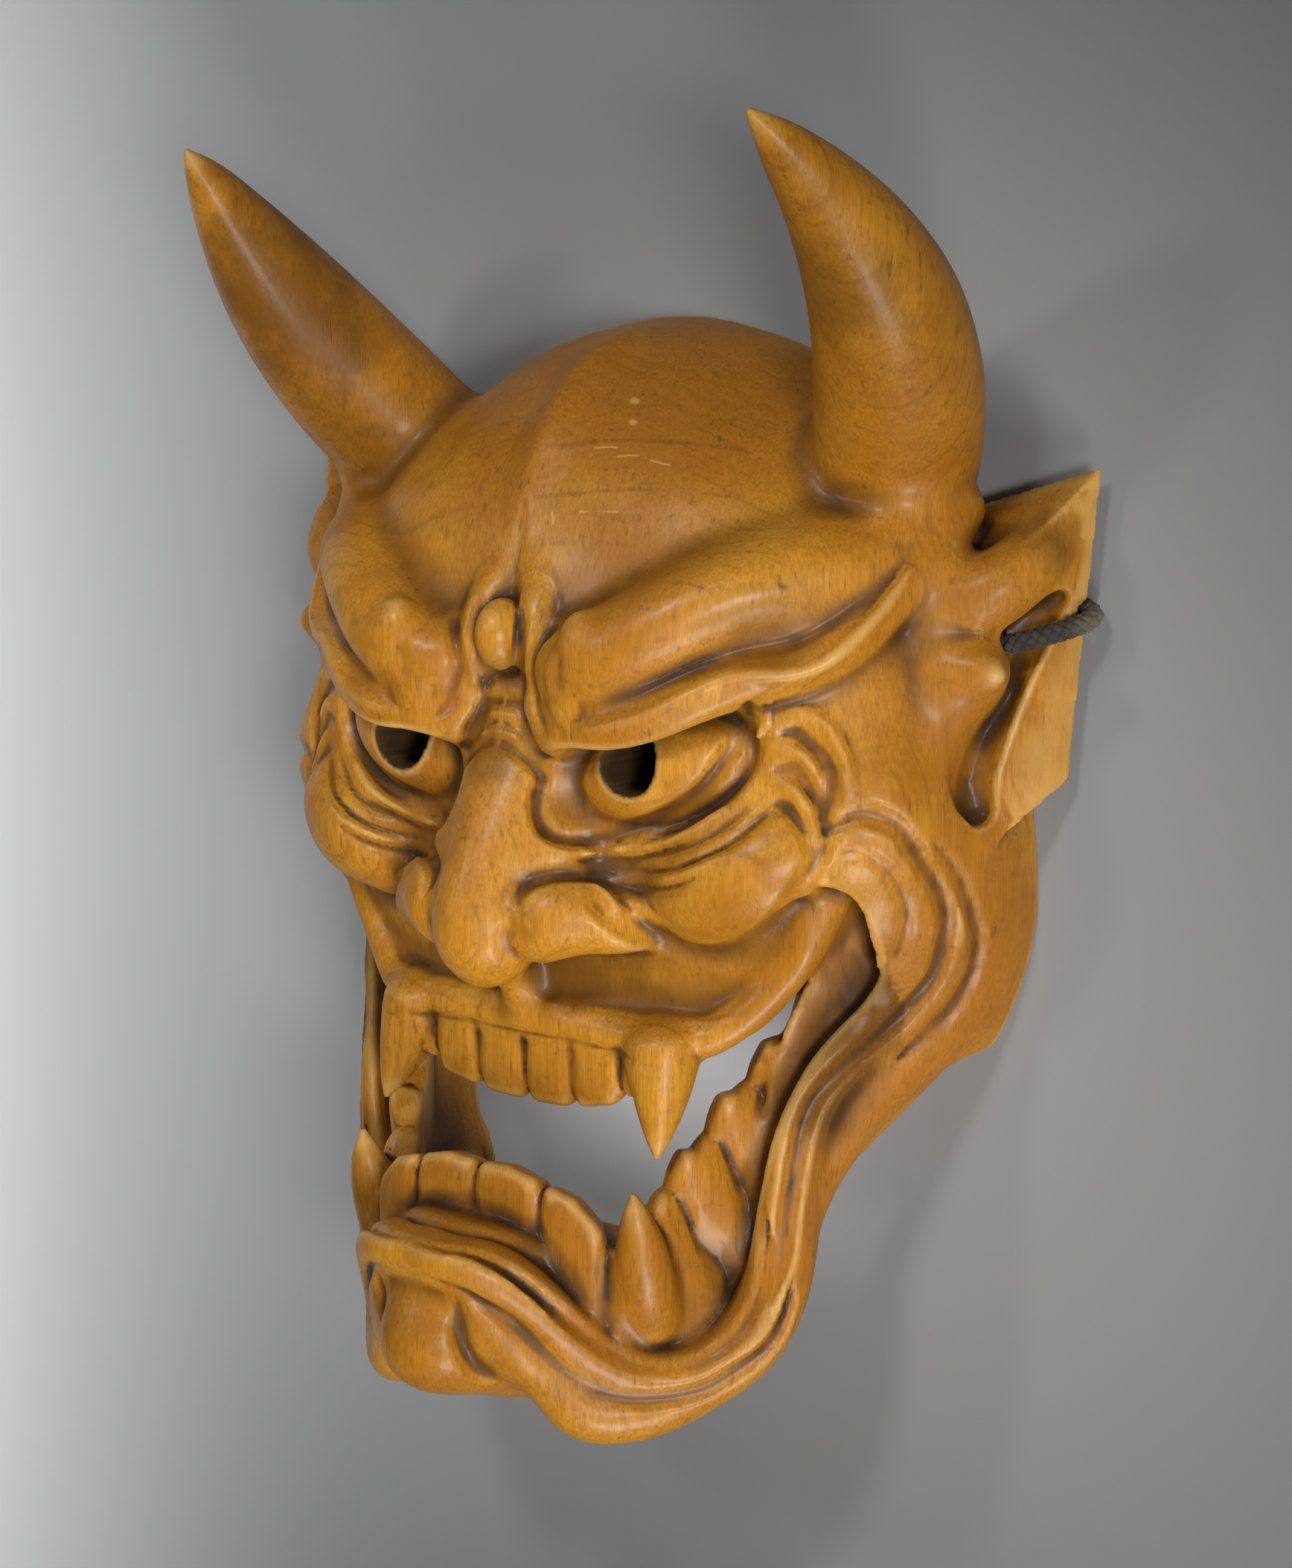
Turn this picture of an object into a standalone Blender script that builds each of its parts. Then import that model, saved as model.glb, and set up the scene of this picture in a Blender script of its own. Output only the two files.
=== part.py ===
"""Carved wooden hannya mask lying on its back, face up, with a braided cord through its ears.

Metres, +Z up, the top of the head toward +Y. The origin is the centre of the footprint on the table.
The mask is carved in millimetres as a distance field on a grid, in the half x >= 0, and then skinned.
"""

import bpy
import numpy as np

for obj in list(bpy.data.objects):
    bpy.data.objects.remove(obj, do_unlink=True)

MM = 0.001
GRID_STEP = 1.6
MASK_TRIANGLES = 8500
MASK_SHIFT_Y = 3.5
CORD_RADIUS = 2.5
CORD_POINTS = 39

# Plan sizes of the head, from the crown down, in millimetres:
# height, half width, depth in front of the rim, squareness of the outline
HEAD_ROWS = [
    (106.3, 3, 0.6, 2.0), (105, 14, 8, 1.9), (103.3, 21, 16, 1.8), (100.6, 31, 25, 1.75), (96.6, 41, 33, 1.75),
    (92, 48, 40, 1.75), (86, 57, 47, 1.75), (78, 66.5, 54, 1.9), (66, 77, 61, 2.15), (53, 85, 65, 2.3),
    (43, 90, 67, 2.4), (30, 94.5, 67.5, 2.5), (15, 97, 67, 2.7), (0, 98, 66, 2.9), (-15, 100, 65, 2.7),
    (-30, 100.5, 65, 2.4), (-45, 96.5, 63, 1.8), (-60, 90, 62, 2.0), (-72, 83, 62, 2.0), (-80, 78, 62, 2.0),
]
JAW_ROWS = [
    (-38, 97, 58, 2.1), (-50, 94.5, 60, 1.8), (-60, 90, 62, 1.95), (-70, 84, 68, 2.0), (-80, 76.5, 76, 1.9),
    (-90, 70, 86, 1.75), (-100, 66, 94, 1.6), (-110, 64, 97, 1.5), (-120, 61, 98, 1.5), (-130, 55, 95, 1.55),
    (-140, 45, 88, 1.7), (-147, 32, 76, 1.9), (-152, 16, 60, 2.0),
]
CROWN = 106.5
WALL = (10, 14)
JAW_WALL = (12, 22)
# Plan of the two rows of teeth: half width, then depth in front of the rim
LOWER_ROW = [(0, 84), (18, 83), (34, 79), (41, 70), (47, 60), (52, 52), (56.5, 46), (61.5, 41), (67, 36), (72, 31.5), (77, 27)]
UPPER_ROW = [(0, 65), (24, 65), (38, 63), (47, 57), (54, 50.5), (59, 45), (64, 40), (69, 35), (74, 28)]


def smooth_path(points, step=2.0):
    """A Catmull-Rom curve through the points, sampled about every STEP millimetres."""
    p = np.asarray(points, float)
    if len(p) < 3:
        n = max(2, int(np.linalg.norm(p[-1, :3] - p[0, :3]) / step) + 1)
        t = np.linspace(0, 1, n)[:, None]
        return p[0] * (1 - t) + p[-1] * t
    q = np.vstack([2 * p[0] - p[1], p, 2 * p[-1] - p[-2]])
    runs = []
    for a, b, c, d in zip(q[:-3], q[1:-2], q[2:-1], q[3:]):
        n = max(2, int(np.ceil(np.linalg.norm(c[:3] - b[:3]) / step)))
        t = np.linspace(0, 1, n, endpoint=False)[:, None]
        bend = (2 * a - 5 * b + 4 * c - d) * t**2 + (3 * b - 3 * c + d - a) * t**3
        runs.append(0.5 * (2 * b + (c - a) * t + bend))
    runs.append(q[-2][None])
    return np.vstack(runs)


def blend(a, b, k):
    """The union of two fields, with a fillet about K wide."""
    if k <= 0:
        return np.minimum(a, b)
    h = np.clip(0.5 + 0.5 * (b - a) / k, 0, 1)
    return b * (1 - h) + a * h - k * h * (1 - h)


def meet(a, b, k):
    """What two fields share, with a rounded edge about K wide."""
    return -blend(-a, -b, k)


def axes(yaw=0, pitch=0, roll=0):
    """Rows are the local axes of a shape turned about y, then x, then z, in degrees."""
    a, b, c = np.radians([yaw, pitch, roll])
    about_y = np.array([[np.cos(a), 0, np.sin(a)], [0, 1, 0], [-np.sin(a), 0, np.cos(a)]])
    about_x = np.array([[1, 0, 0], [0, np.cos(b), -np.sin(b)], [0, np.sin(b), np.cos(b)]])
    about_z = np.array([[np.cos(c), -np.sin(c), 0], [np.sin(c), np.cos(c), 0], [0, 0, 1]])
    return (about_y @ about_x @ about_z).T


def capsule(x, y, z, a, b):
    """Distance to a segment whose ends are (x, y, z, radius)."""
    ab = b[:3] - a[:3]
    length = float(ab @ ab)
    if length < 1e-9:
        return (np.sqrt((x - a[0]) ** 2 + (y - a[1]) ** 2 + (z - a[2]) ** 2) - max(a[3], b[3])).astype(np.float32)
    t = np.clip(((x - a[0]) * ab[0] + (y - a[1]) * ab[1] + (z - a[2]) * ab[2]) / length, 0, 1)
    d = np.sqrt((x - a[0] - t * ab[0]) ** 2 + (y - a[1] - t * ab[1]) ** 2 + (z - a[2] - t * ab[2]) ** 2)
    return (d - (a[3] + t * (b[3] - a[3]))).astype(np.float32)


class Block:
    """The right half of a block of wood: how far each grid point lies outside the carving."""

    def __init__(self, low, high, step):
        self.step = step
        self.low = np.array(low, float)
        self.count = np.ceil((np.array(high, float) - self.low) / step).astype(int) + 1
        self.axis = [(self.low[i] + step * np.arange(self.count[i])).astype(np.float32) for i in range(3)]
        self.field = np.full(self.count, 1e3, np.float32)

    def box(self, low, high, within=None):
        """The part of the grid between two corners, and its coordinates."""
        first = [int(max(0, np.floor((low[i] - self.low[i]) / self.step))) for i in range(3)]
        last = [int(min(self.count[i], np.ceil((high[i] - self.low[i]) / self.step) + 1)) for i in range(3)]
        if within is not None:
            first = [max(x, w.start) for x, w in zip(first, within)]
            last = [min(x, w.stop) for x, w in zip(last, within)]
        part = tuple(slice(x, max(x, y)) for x, y in zip(first, last))
        x, y, z = np.meshgrid(*[self.axis[i][part[i]] for i in range(3)], indexing="ij", sparse=True)
        return part, x, y, z

    def add(self, part, d, k=0):
        self.field[part] = blend(self.field[part], d, k)

    def cut(self, part, d, k=0):
        self.field[part] = meet(self.field[part], -d, k)

    def keep(self, part, d, k=0):
        self.field[part] = meet(self.field[part], d, k)

    def egg(self, centre, radii, k=0, op="add", turn=None):
        c, r = np.array(centre, float), np.array(radii, float)
        reach = (r.max() if turn is not None else r) + k + 3 * self.step
        part, x, y, z = self.box(c - reach, c + reach)
        p = [x - c[0], y - c[1], z - c[2]]
        if turn is not None:
            p = [turn[i, 0] * p[0] + turn[i, 1] * p[1] + turn[i, 2] * p[2] for i in range(3)]
        near = np.sqrt(sum((p[i] / r[i]) ** 2 for i in range(3)))
        slope = np.sqrt(sum((p[i] / r[i] ** 2) ** 2 for i in range(3)))
        getattr(self, op)(part, (near * (near - 1) / np.maximum(slope, 1e-6)).astype(np.float32), k)

    def sweep(self, points, reach, radius):
        """Distance to a path, less its own radius when RADIUS is set, within REACH of it."""
        p = smooth_path(points, max(1.6, self.step * 1.6))
        size = p[:, 3] if radius else np.zeros(len(p))
        lo = (p[:, :3] - size[:, None]).min(0) - reach
        hi = (p[:, :3] + size[:, None]).max(0) + reach
        part = self.box(lo, hi)[0]
        found = np.full(tuple(s.stop - s.start for s in part), 1e3, np.float32)
        if found.size == 0:
            return part, found
        ends = np.column_stack([p[:, :3], size])
        for a, b in zip(ends[:-1], ends[1:]):
            r = max(a[3], b[3]) + reach
            inner, x, y, z = self.box(np.minimum(a[:3], b[:3]) - r, np.maximum(a[:3], b[:3]) + r, part)
            local = tuple(slice(i.start - s.start, i.stop - s.start) for i, s in zip(inner, part))
            found[local] = np.minimum(found[local], capsule(x, y, z, a, b))
        return part, found

    def rod(self, points, k=0, op="add"):
        """A round bar through points (x, y, z, radius)."""
        part, d = self.sweep(points, k + 3 * self.step, True)
        if d.size:
            getattr(self, op)(part, d, k)

    def stroke(self, points, width, depth, sharp=1.0, taper=0.25):
        """A gouge mark along a path, WIDTH to each side; a negative depth raises a ridge instead."""
        p = smooth_path(np.asarray(points, float)[:, :3], max(1.0, self.step))
        t = np.linspace(0, 1, len(p))
        fade = np.clip(np.minimum(t, 1 - t) / taper, 0, 1) ** 0.5 if taper > 0 else np.ones(len(p))
        part = self.box(p.min(0) - width - self.step, p.max(0) + width + self.step)[0]
        mark = np.zeros(tuple(s.stop - s.start for s in part), np.float32)
        if mark.size == 0:
            return
        for centre, strength in zip(p, fade):
            if strength <= 0:
                continue
            w = width * (0.4 + 0.6 * strength)
            inner, x, y, z = self.box(centre - w, centre + w, part)
            local = tuple(slice(i.start - s.start, i.stop - s.start) for i, s in zip(inner, part))
            d = ((x - centre[0]) ** 2 + (y - centre[1]) ** 2 + (z - centre[2]) ** 2) / w**2
            shape = np.clip(1 - np.sqrt(d), 0, 1) if sharp == 1 else np.clip(1 - d, 0, 1) ** sharp
            mark[local] = np.maximum(mark[local], (strength * shape).astype(np.float32))
        self.field[part] += depth * mark

    def on_front(self, points):
        """The path (x, y) laid on the front of the carving as it stands."""
        p = smooth_path([(a[0], a[1], 0) for a in points], 3.0)
        z = np.full(len(p), np.nan)
        for n, (x, y) in enumerate(p[:, :2]):
            i = int(np.clip(round((abs(x) - self.low[0]) / self.step), 0, self.count[0] - 1))
            j = int(np.clip(round((y - self.low[1]) / self.step), 0, self.count[1] - 1))
            column = self.field[i, j]
            inside = np.where(column <= 0)[0]
            if len(inside) and inside[-1] + 1 < self.count[2]:
                a = inside[-1]
                z[n] = self.axis[2][a] - self.step * column[a] / (column[a + 1] - column[a])
        known = ~np.isnan(z)
        z = np.interp(np.arange(len(z)), np.where(known)[0], z[known])
        z = np.convolve(np.pad(z, 2, mode="edge"), np.ones(5) / 5, "valid")
        return np.column_stack([p[:, 0], p[:, 1], z])


def loft(block, rows, inset=(0, 0)):
    """A field of half superellipses stacked from the crown down."""
    y = block.axis[1]
    depth_down = np.sqrt(np.maximum(CROWN - y, 1e-3))
    rows = np.asarray(rows, float)
    order = np.argsort(np.sqrt(np.maximum(CROWN - rows[:, 0], 1e-3)))
    known = np.sqrt(np.maximum(CROWN - rows[:, 0], 1e-3))[order]
    sizes = []
    for column, less in ((1, inset[0]), (2, inset[1]), (3, 0)):
        value = np.interp(depth_down, known, rows[order, column]) - less
        pad = 2 if block.step > 1.2 else 4
        even = np.convolve(np.pad(value, pad, mode="edge"), np.ones(2 * pad + 1) / (2 * pad + 1), "valid")
        sizes.append(np.where(y < 98, even, value)[None, :, None])
    width, depth, square = np.maximum(sizes[0], 0.5), np.maximum(sizes[1], 0.5), sizes[2]
    x = block.axis[0][:, None, None]
    z = np.maximum(block.axis[2], 0)[None, None, :]
    u = ((x / width) ** square + (z / depth) ** square + 1e-9) ** (1 / square)
    slope = np.gradient(u, block.step)
    steep = np.maximum(np.sqrt(slope[0] ** 2 + slope[1] ** 2 + slope[2] ** 2), 0.004)
    level = np.maximum(np.sqrt(slope[0] ** 2 + slope[2] ** 2), 0.004)
    f = (u - 1) / steep
    f = np.clip(np.where(u > 1, np.maximum(f, 0.4 * (u - 1) / level), f), -60, 60).astype(np.float32)
    over = y > CROWN - 0.4
    last = np.where(~over)[0][-1]
    f[:, over, :] = np.maximum(f[:, last : last + 1, :], 0) + np.maximum(y[over] - CROWN + 0.4, 0.2)[None, :, None]
    under = y < rows[:, 0].min()
    f[:, under, :] = np.maximum(f[:, under, :], (2 + rows[:, 0].min() - y[under])[None, :, None])
    return f


def outline(block, points):
    """Signed distance in the front view to a smooth closed outline."""
    p = smooth_path([(a, b, 0) for a, b in points], 2.0)[:, :2]
    x, y = np.meshgrid(block.axis[0], block.axis[1], indexing="ij")
    d = np.full(x.shape, 1e9)
    inside = np.zeros(x.shape, bool)
    for a, b in zip(p, np.roll(p, -1, axis=0)):
        e = b - a
        if e @ e < 1e-9:
            continue
        t = np.clip(((x - a[0]) * e[0] + (y - a[1]) * e[1]) / (e @ e), 0, 1)
        d = np.minimum(d, (x - a[0] - t * e[0]) ** 2 + (y - a[1] - t * e[1]) ** 2)
        inside ^= ((a[1] > y) != (b[1] > y)) & (x < (b[0] - a[0]) * (y - a[1]) / (b[1] - a[1] + 1e-12) + a[0])
    d = np.sqrt(d)
    return np.where(inside, -d, d).astype(np.float32)[:, :, None]


def row_plan(block, points):
    """In plan: how far in front of a row of teeth, and how far along it."""
    p = smooth_path([(a, 0, b) for a, b in points], 1.0)[:, [0, 2]]
    x, z = np.meshgrid(block.axis[0], block.axis[2], indexing="ij")
    d = np.full(x.shape, 1e9)
    along = np.zeros(x.shape)
    sign = np.ones(x.shape)
    before = 0.0
    for a, b in zip(p[:-1], p[1:]):
        e = b - a
        length = np.sqrt(e @ e)
        t = np.clip(((x - a[0]) * e[0] + (z - a[1]) * e[1]) / length**2, 0, 1)
        away = np.sqrt((x - a[0] - t * e[0]) ** 2 + (z - a[1] - t * e[1]) ** 2)
        near = away < d
        d = np.where(near, away, d)
        along = np.where(near, before + t * length, along)
        sign = np.where(near, np.sign((z - a[1]) * e[0] - (x - a[0]) * e[1]), sign)
        before += length
    return (d * sign).astype(np.float32), along.astype(np.float32)


def tooth_wall(block, row, thick, free, root, joints, up, lean=0.0):
    """A wall behind a row line with a groove at each joint; it thins toward its free edge."""
    front, along = row_plan(block, row)
    edge = np.interp(along, [a for a, _ in free], [b for _, b in free])
    y = block.axis[1][None, :, None]
    side = np.clip((along - 40) / 8, 0, 1)[:, None, :]
    slanted = along[:, None, :] + side * lean * (y - edge[:, None, :])
    gap = np.full(slanted.shape, 1e3, np.float32)
    for joint in joints:
        gap = np.minimum(gap, np.abs(slanted - joint))
    groove = 1.4 * np.clip(1 - gap / 3.2, 0, 1) ** 1.3 + side * 0.9 * np.clip(1 - gap / 5.5, 0, 1) ** 1.5
    notch = 1.8 * np.clip(1 - gap / 2.6, 0, 1) ** 2 + side * 2.4 * np.clip(1 - gap / 5.5, 0, 1)
    over = (y - edge[:, None, :]) * up + notch + 0.25 * np.maximum(-front[:, None, :], 0)
    thin = np.clip((over + 7) / 7, 0, 1) ** 2 * 1.4
    wall = np.maximum(front[:, None, :] + groove + thin, -(front[:, None, :] + thick - thin * 0.5))
    wall = meet(wall, over * 0.9, 2.0)
    return np.maximum(wall, -(y - root) * up).astype(np.float32)


def carve(step):
    grid_low = (0, -160, -2.5 * step)
    block = Block(grid_low, (124, 150, 124), step)
    x = block.axis[0][:, None, None]
    y = block.axis[1][None, :, None]
    z = block.axis[2][None, None, :]

    # Rough form: the dome and cheeks, then the jaw that juts forward
    block.field = meet(loft(block, HEAD_ROWS), (-(y + 62) + 0 * x + 0 * z).astype(np.float32), 4)
    rear = np.interp(y, [-150, -130, -110, -100, -90, -77, -66, -40], [20, 41, 52, 56, 63, 77, 88, 200])
    lean = np.interp(y, [-150, -110, -90, -66], [1.0, 0.72, 0.66, 0.6])
    jaw = np.maximum(loft(block, JAW_ROWS), (x - (rear + (z - 18) * lean)) / np.sqrt(1 + lean**2))
    jaw = np.maximum(jaw, -(y + 131.5 + (z - 22) * 0.26) / 1.03)
    jaw = np.where(y < -36, jaw, np.maximum(jaw, y + 36))
    block.field = blend(block.field, jaw.astype(np.float32), 6)

    # Horns
    block.rod([(64, 62, 6, 16.5), (69, 70.5, 14, 18.2), (74.5, 80, 22.5, 18.9), (80.5, 92, 33, 18.4), (84.6, 105, 44.8, 16.4),
               (85.6, 117, 56.8, 13.2), (84.3, 127.5, 68.3, 9.4), (81.6, 136.5, 79.3, 5.4), (79.2, 143.2, 88.5, 1.0)], k=8)

    # Ears: a slab trimmed by five planes, a lobe and the hollow where the cord comes out
    ear = Block(grid_low, (124, 150, 124), step)
    part, ex, ey, ez = block.box((70, -20, -6), (124, 90, 60))
    slab = np.maximum(np.maximum(np.abs(ex - 95) - 29, np.abs(ey - 30) - 55), np.abs(ez - 20) - 30)
    for normal, point in (((0, 0, -1), (0, 0, 4.5)), ((0.812, -0.072, 0.58), (117.9, 70.4, 2)), ((-0.203, 0.687, 0.697), (107.5, 61.5, 13.3)),
                          ((0, -0.71, -0.7), (108.8, 3.2, 4)), ((0.6, 0, 0.8), (97.8, 45.4, 24.2))):
        n = np.array(normal, float) / np.linalg.norm(normal)
        slab = np.maximum(slab, (ex - point[0]) * n[0] + (ey - point[1]) * n[1] + (ez - point[2]) * n[2])
    block.add(part, slab.astype(np.float32), 3)
    block.rod([(109.2, 43.6, 10.2, 2), (105.6, 38, 15, 5.2), (100.6, 30.4, 18.4, 7), (97.6, 21.5, 21.6, 7.5), (97, 12.8, 24.5, 7.5), (96.4, 4, 25.5, 6.5),
               (97, -3, 22.5, 4)], k=1.2, op="cut")
    block.rod([(95, 43.2, 22.5, 7.8), (99.5, 47, 19, 8.2), (104.5, 52.5, 14, 6.5)], k=2.5)

    # Brow: a heavy roll that runs up to the horn, with a rolled lower edge
    block.rod([(14, 28, 66, 8), (23, 27, 69, 10.5), (34, 32.5, 69.3, 11.2), (46, 39.5, 63.4, 11), (57, 45, 55, 10.5), (66, 49, 45, 10.5),
               (74, 52, 34, 10), (79, 61, 23, 10)], k=8)
    block.rod([(12, 18, 67, 7), (17, 14, 68, 8), (24, 13, 69.5, 8), (33, 15, 70.5, 7.8), (42, 18, 69, 7.2), (51, 22.5, 65.5, 6.2), (60, 26.5, 60, 5.2),
               (69, 29, 53.5, 4.5), (76.5, 34, 47, 4.2), (82, 42, 38, 4.2), (86, 52, 28, 5), (88, 63, 17, 5)], k=4)
    # Cheek
    block.egg((58, -16, 50.5), (25.5, 16.5, 17.5), k=5, turn=axes(yaw=28, roll=22))
    block.egg((80, -4, 38), (11, 16, 12), k=8)
    # Nose: bridge, broad flanks and wings
    block.rod([(0, 16, 62, 9), (0, 4, 65, 10), (0, -6, 69.5, 10.5), (0, -16, 74, 10.8), (0, -26, 77.5, 11.3), (0, -32.5, 78.3, 11.8), (0, -36, 77, 10.8)], k=6)
    block.rod([(5.5, 5, 60, 11), (7, -6, 62, 12.5), (9, -17, 65, 13), (12, -26, 64, 12.5)], k=6)
    block.rod([(7, -32, 75, 10), (15, -29, 73, 10.3), (22, -28.3, 69.5, 9.2), (29, -29.8, 65.5, 7.8), (33, -30.6, 62.5, 5.8)], k=2.5)
    # Lower lip and chin: rolls from the curl at the corner of the mouth to the peak under the teeth
    block.rod([(0, -103, 101, 6.5), (8, -103.5, 101, 6.5), (14.5, -106, 97, 7), (19.5, -111.3, 91.5, 7), (25.5, -121, 83.5, 7), (31.5, -129.3, 76, 7),
               (39, -134, 67.5, 7), (47, -134, 59.5, 7), (53.5, -130, 53, 7), (58, -122, 48.5, 7), (60, -112.5, 46.5, 7), (61, -102, 46.5, 7),
               (61.5, -92, 46, 7), (62.5, -80, 44, 7), (64.5, -70, 40.5, 7), (68.5, -61, 35, 7.3), (73.5, -52.5, 26, 7.3), (79, -44.5, 20.5, 7.3),
               (82.3, -36, 19.5, 7.4), (84, -28, 21, 7.5), (83.5, -19.5, 25, 7.6), (81, -12.5, 29, 7.5), (77, -8.5, 34.5, 6.8), (73, -9, 39.5, 6)], k=3)
    block.rod([(8, -107, 98, 3), (13, -113, 96.5, 5), (16.5, -122, 91.5, 6.5), (22.5, -132, 84, 7), (28.5, -141, 77.5, 8), (36.5, -142, 69.5, 8),
               (43.5, -139, 62, 7.8), (49.5, -133.5, 55.5, 7.8), (55, -126.5, 50.5, 7.8), (58.5, -117.5, 46.5, 7.4), (60, -108, 44, 7.3), (60.5, -99, 40.5, 7),
               (63, -89, 36, 7), (67.5, -79, 32, 7), (73.5, -69, 26, 7), (79.5, -58, 16, 8), (85, -46, 7, 9), (88, -34, 4, 9), (88.5, -22, 7, 9),
               (86, -13, 14, 8)], k=4)
    block.egg((0, -121.5, 90), (15, 17, 17), k=6)
    block.egg((0, -126, 94.5), (13.5, 12, 14.5), k=4)
    block.egg((0, -131, 81), (20, 9, 15), k=6)

    # Mouth: a pocket in front of the lower row, and the gap right through between the rows
    mouth = outline(block, [(-30, -60), (0, -60), (27, -60), (38, -60), (47, -59), (55, -53), (62, -45), (68, -35), (72, -26), (75, -18),
                            (79, -20), (81, -26), (81, -33), (79, -41), (75, -48), (70, -55), (66, -62), (63, -70), (60.5, -80), (59, -90),
                            (56.5, -102), (54, -111), (50, -118), (45, -122), (39, -121), (33, -116), (27, -109), (20, -103), (12, -98.5),
                            (0, -97), (-30, -97)])
    through = outline(block, [(-30, -60), (0, -60), (27, -60), (38, -60), (46, -58), (52, -53), (57, -47.5), (61, -42.5), (62.8, -43), (61, -48.5),
                              (59, -54), (57.5, -62), (56, -70), (55, -80), (53, -90), (50, -100), (44, -105), (30, -105), (15, -100), (0, -99), (-30, -99)])
    row = row_plan(block, LOWER_ROW)[0][:, None, :]
    lower_wall = tooth_wall(block, LOWER_ROW, 9, [(0, -86.5), (9, -86), (18.8, -88.5), (27, -91), (35, -98), (39, -104), (43, -101), (46, -97),
                            (50, -89), (55.5, -81), (59, -80), (65, -69), (69, -67), (75, -57), (79, -54), (83, -45), (89.5, -35), (97, -25), (103, -19)],
                            -134, (0, 18.8, 36, 50.5, 60.5, 70, 79, 88, 96), 1, lean=0.35)
    floor = np.interp(x, [40, 60, 66, 72, 78, 84], [60, 40, 33, 27, 24, 24])
    pocket = meet(meet(mouth + 0 * z, -row + 0 * y, 2.0), (floor - z) + 0 * y, 5)

    # Hollow behind the face, kept clear of the pocket
    inner = np.maximum(loft(block, HEAD_ROWS, WALL), -(y + 70))
    inner_jaw = np.maximum(loft(block, JAW_ROWS, JAW_WALL), (x - (rear - 9.5 + (z - 18) * lean * 0.5)) / 1.1)
    inner_jaw = np.maximum(inner_jaw, -(y + 122 + (z - 22) * 0.1))
    inner_jaw = np.where(y < -40, inner_jaw, np.maximum(inner_jaw, y + 40))
    hollow = blend(meet(inner, y - 96.5 + 0 * x + 0 * z, 8), inner_jaw, 6).astype(np.float32)
    hollow = meet(hollow, 8.5 - pocket, 3)
    eye_wood = np.maximum(np.sqrt((x - 33.6) ** 2 + (y - 7.5) ** 2) - 14, 37 - z)
    hollow = meet(hollow, -eye_wood, 4).astype(np.float32)
    hollow = meet(hollow, np.where(y < -80, 9 + row, -50).astype(np.float32), 2)
    block.field = meet(block.field, -hollow, 3)
    block.field = meet(block.field, -pocket, 1.5)
    block.field = meet(block.field, -(through + 0 * z), 2.0)
    lower_wall = np.maximum(lower_wall, (x - (rear + (z - 18) * lean - 5)) / 1.2)
    lower_wall = np.maximum(lower_wall, (20 - z) + 0 * y + 0 * x)
    block.field = blend(block.field, lower_wall.astype(np.float32), 1.5)
    block.rod([(38.5, -121, 66, 6.6), (39.5, -113, 69.3, 7), (40.5, -104, 72.2, 6), (41, -96, 74.6, 3.8), (41, -89.1, 76, 0.8)], k=2)

    # Upper lip and teeth
    block.rod([(0, -56.5, 61.5, 4.5), (15, -56.5, 61.5, 4.5), (27, -56.5, 61, 4.5), (38, -57, 59, 4.5), (47, -56, 55, 4.2), (55, -50, 51, 4),
               (62, -42, 48, 3.8), (68, -33, 45.5, 3.6), (72, -24, 43.5, 3.5), (75.5, -16, 41, 3.5)], k=2)
    upper_wall = tooth_wall(block, UPPER_ROW, 8.5, [(0, -78), (13, -77.5), (25, -75), (31, -72), (38, -66), (44, -64), (50, -62), (54, -57), (58, -52),
                            (62, -46), (66, -42), (72, -34)], -52, (0, 14, 28, 44, 53, 61), -1)
    block.field = blend(block.field, upper_wall, 1.5)
    block.rod([(37, -60, 59.5, 9), (38.5, -68, 62, 6.8), (40, -76, 65, 3.8), (41.1, -82, 67.2, 0.9)], k=1.5)
    # Spike at the temple
    block.rod([(88, 27, 20, 12), (97, 28, 25, 7), (104.6, 28, 28.4, 0.8)], k=5)
    block.rod([(88, 26, 23, 11), (86.5, 17, 25, 9.6), (85, 7, 27, 8.2), (84, -3, 28, 7)], k=4)
    block.rod([(84, 36, 27, 6.5), (87.5, 42, 26.5, 6.5), (89.5, 48, 24, 6)], k=5)
    face(block)
    block.field = meet(block.field, -hollow, 2)

    # Way for the cord: from the hollow through the side, out in the hollow of the ear and round the ear's rear edge
    block.rod([(64, 31.2, 5.2, 3.4), (70, 31.8, 7.6, 3.4), (77, 32.2, 10.6, 3.4), (85, 32.7, 13, 3.4), (94, 33.1, 15.2, 3.5), (101, 33.7, 17.5, 3.6),
               (106, 35, 16.8, 3.3), (110.2, 36.4, 13.8, 3.2), (113.4, 37.9, 9.2, 3.2), (114.9, 39.2, 5.4, 3.2), (113.4, 40.5, 3.1, 3.2),
               (109.5, 41.8, 2.9, 3.2), (105, 43, 2.9, 3.2), (98.5, 44.4, 2.9, 3.2)], k=0.4, op="cut")

    # Flat rear rim, raised under the chin
    rim = np.interp(y, [-160, -110, -95, -84, -72, -66], [22, 22, 20, 12, 3, 0])
    block.field = np.maximum(block.field, (rim - z + 0 * x).astype(np.float32))
    return block


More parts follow.
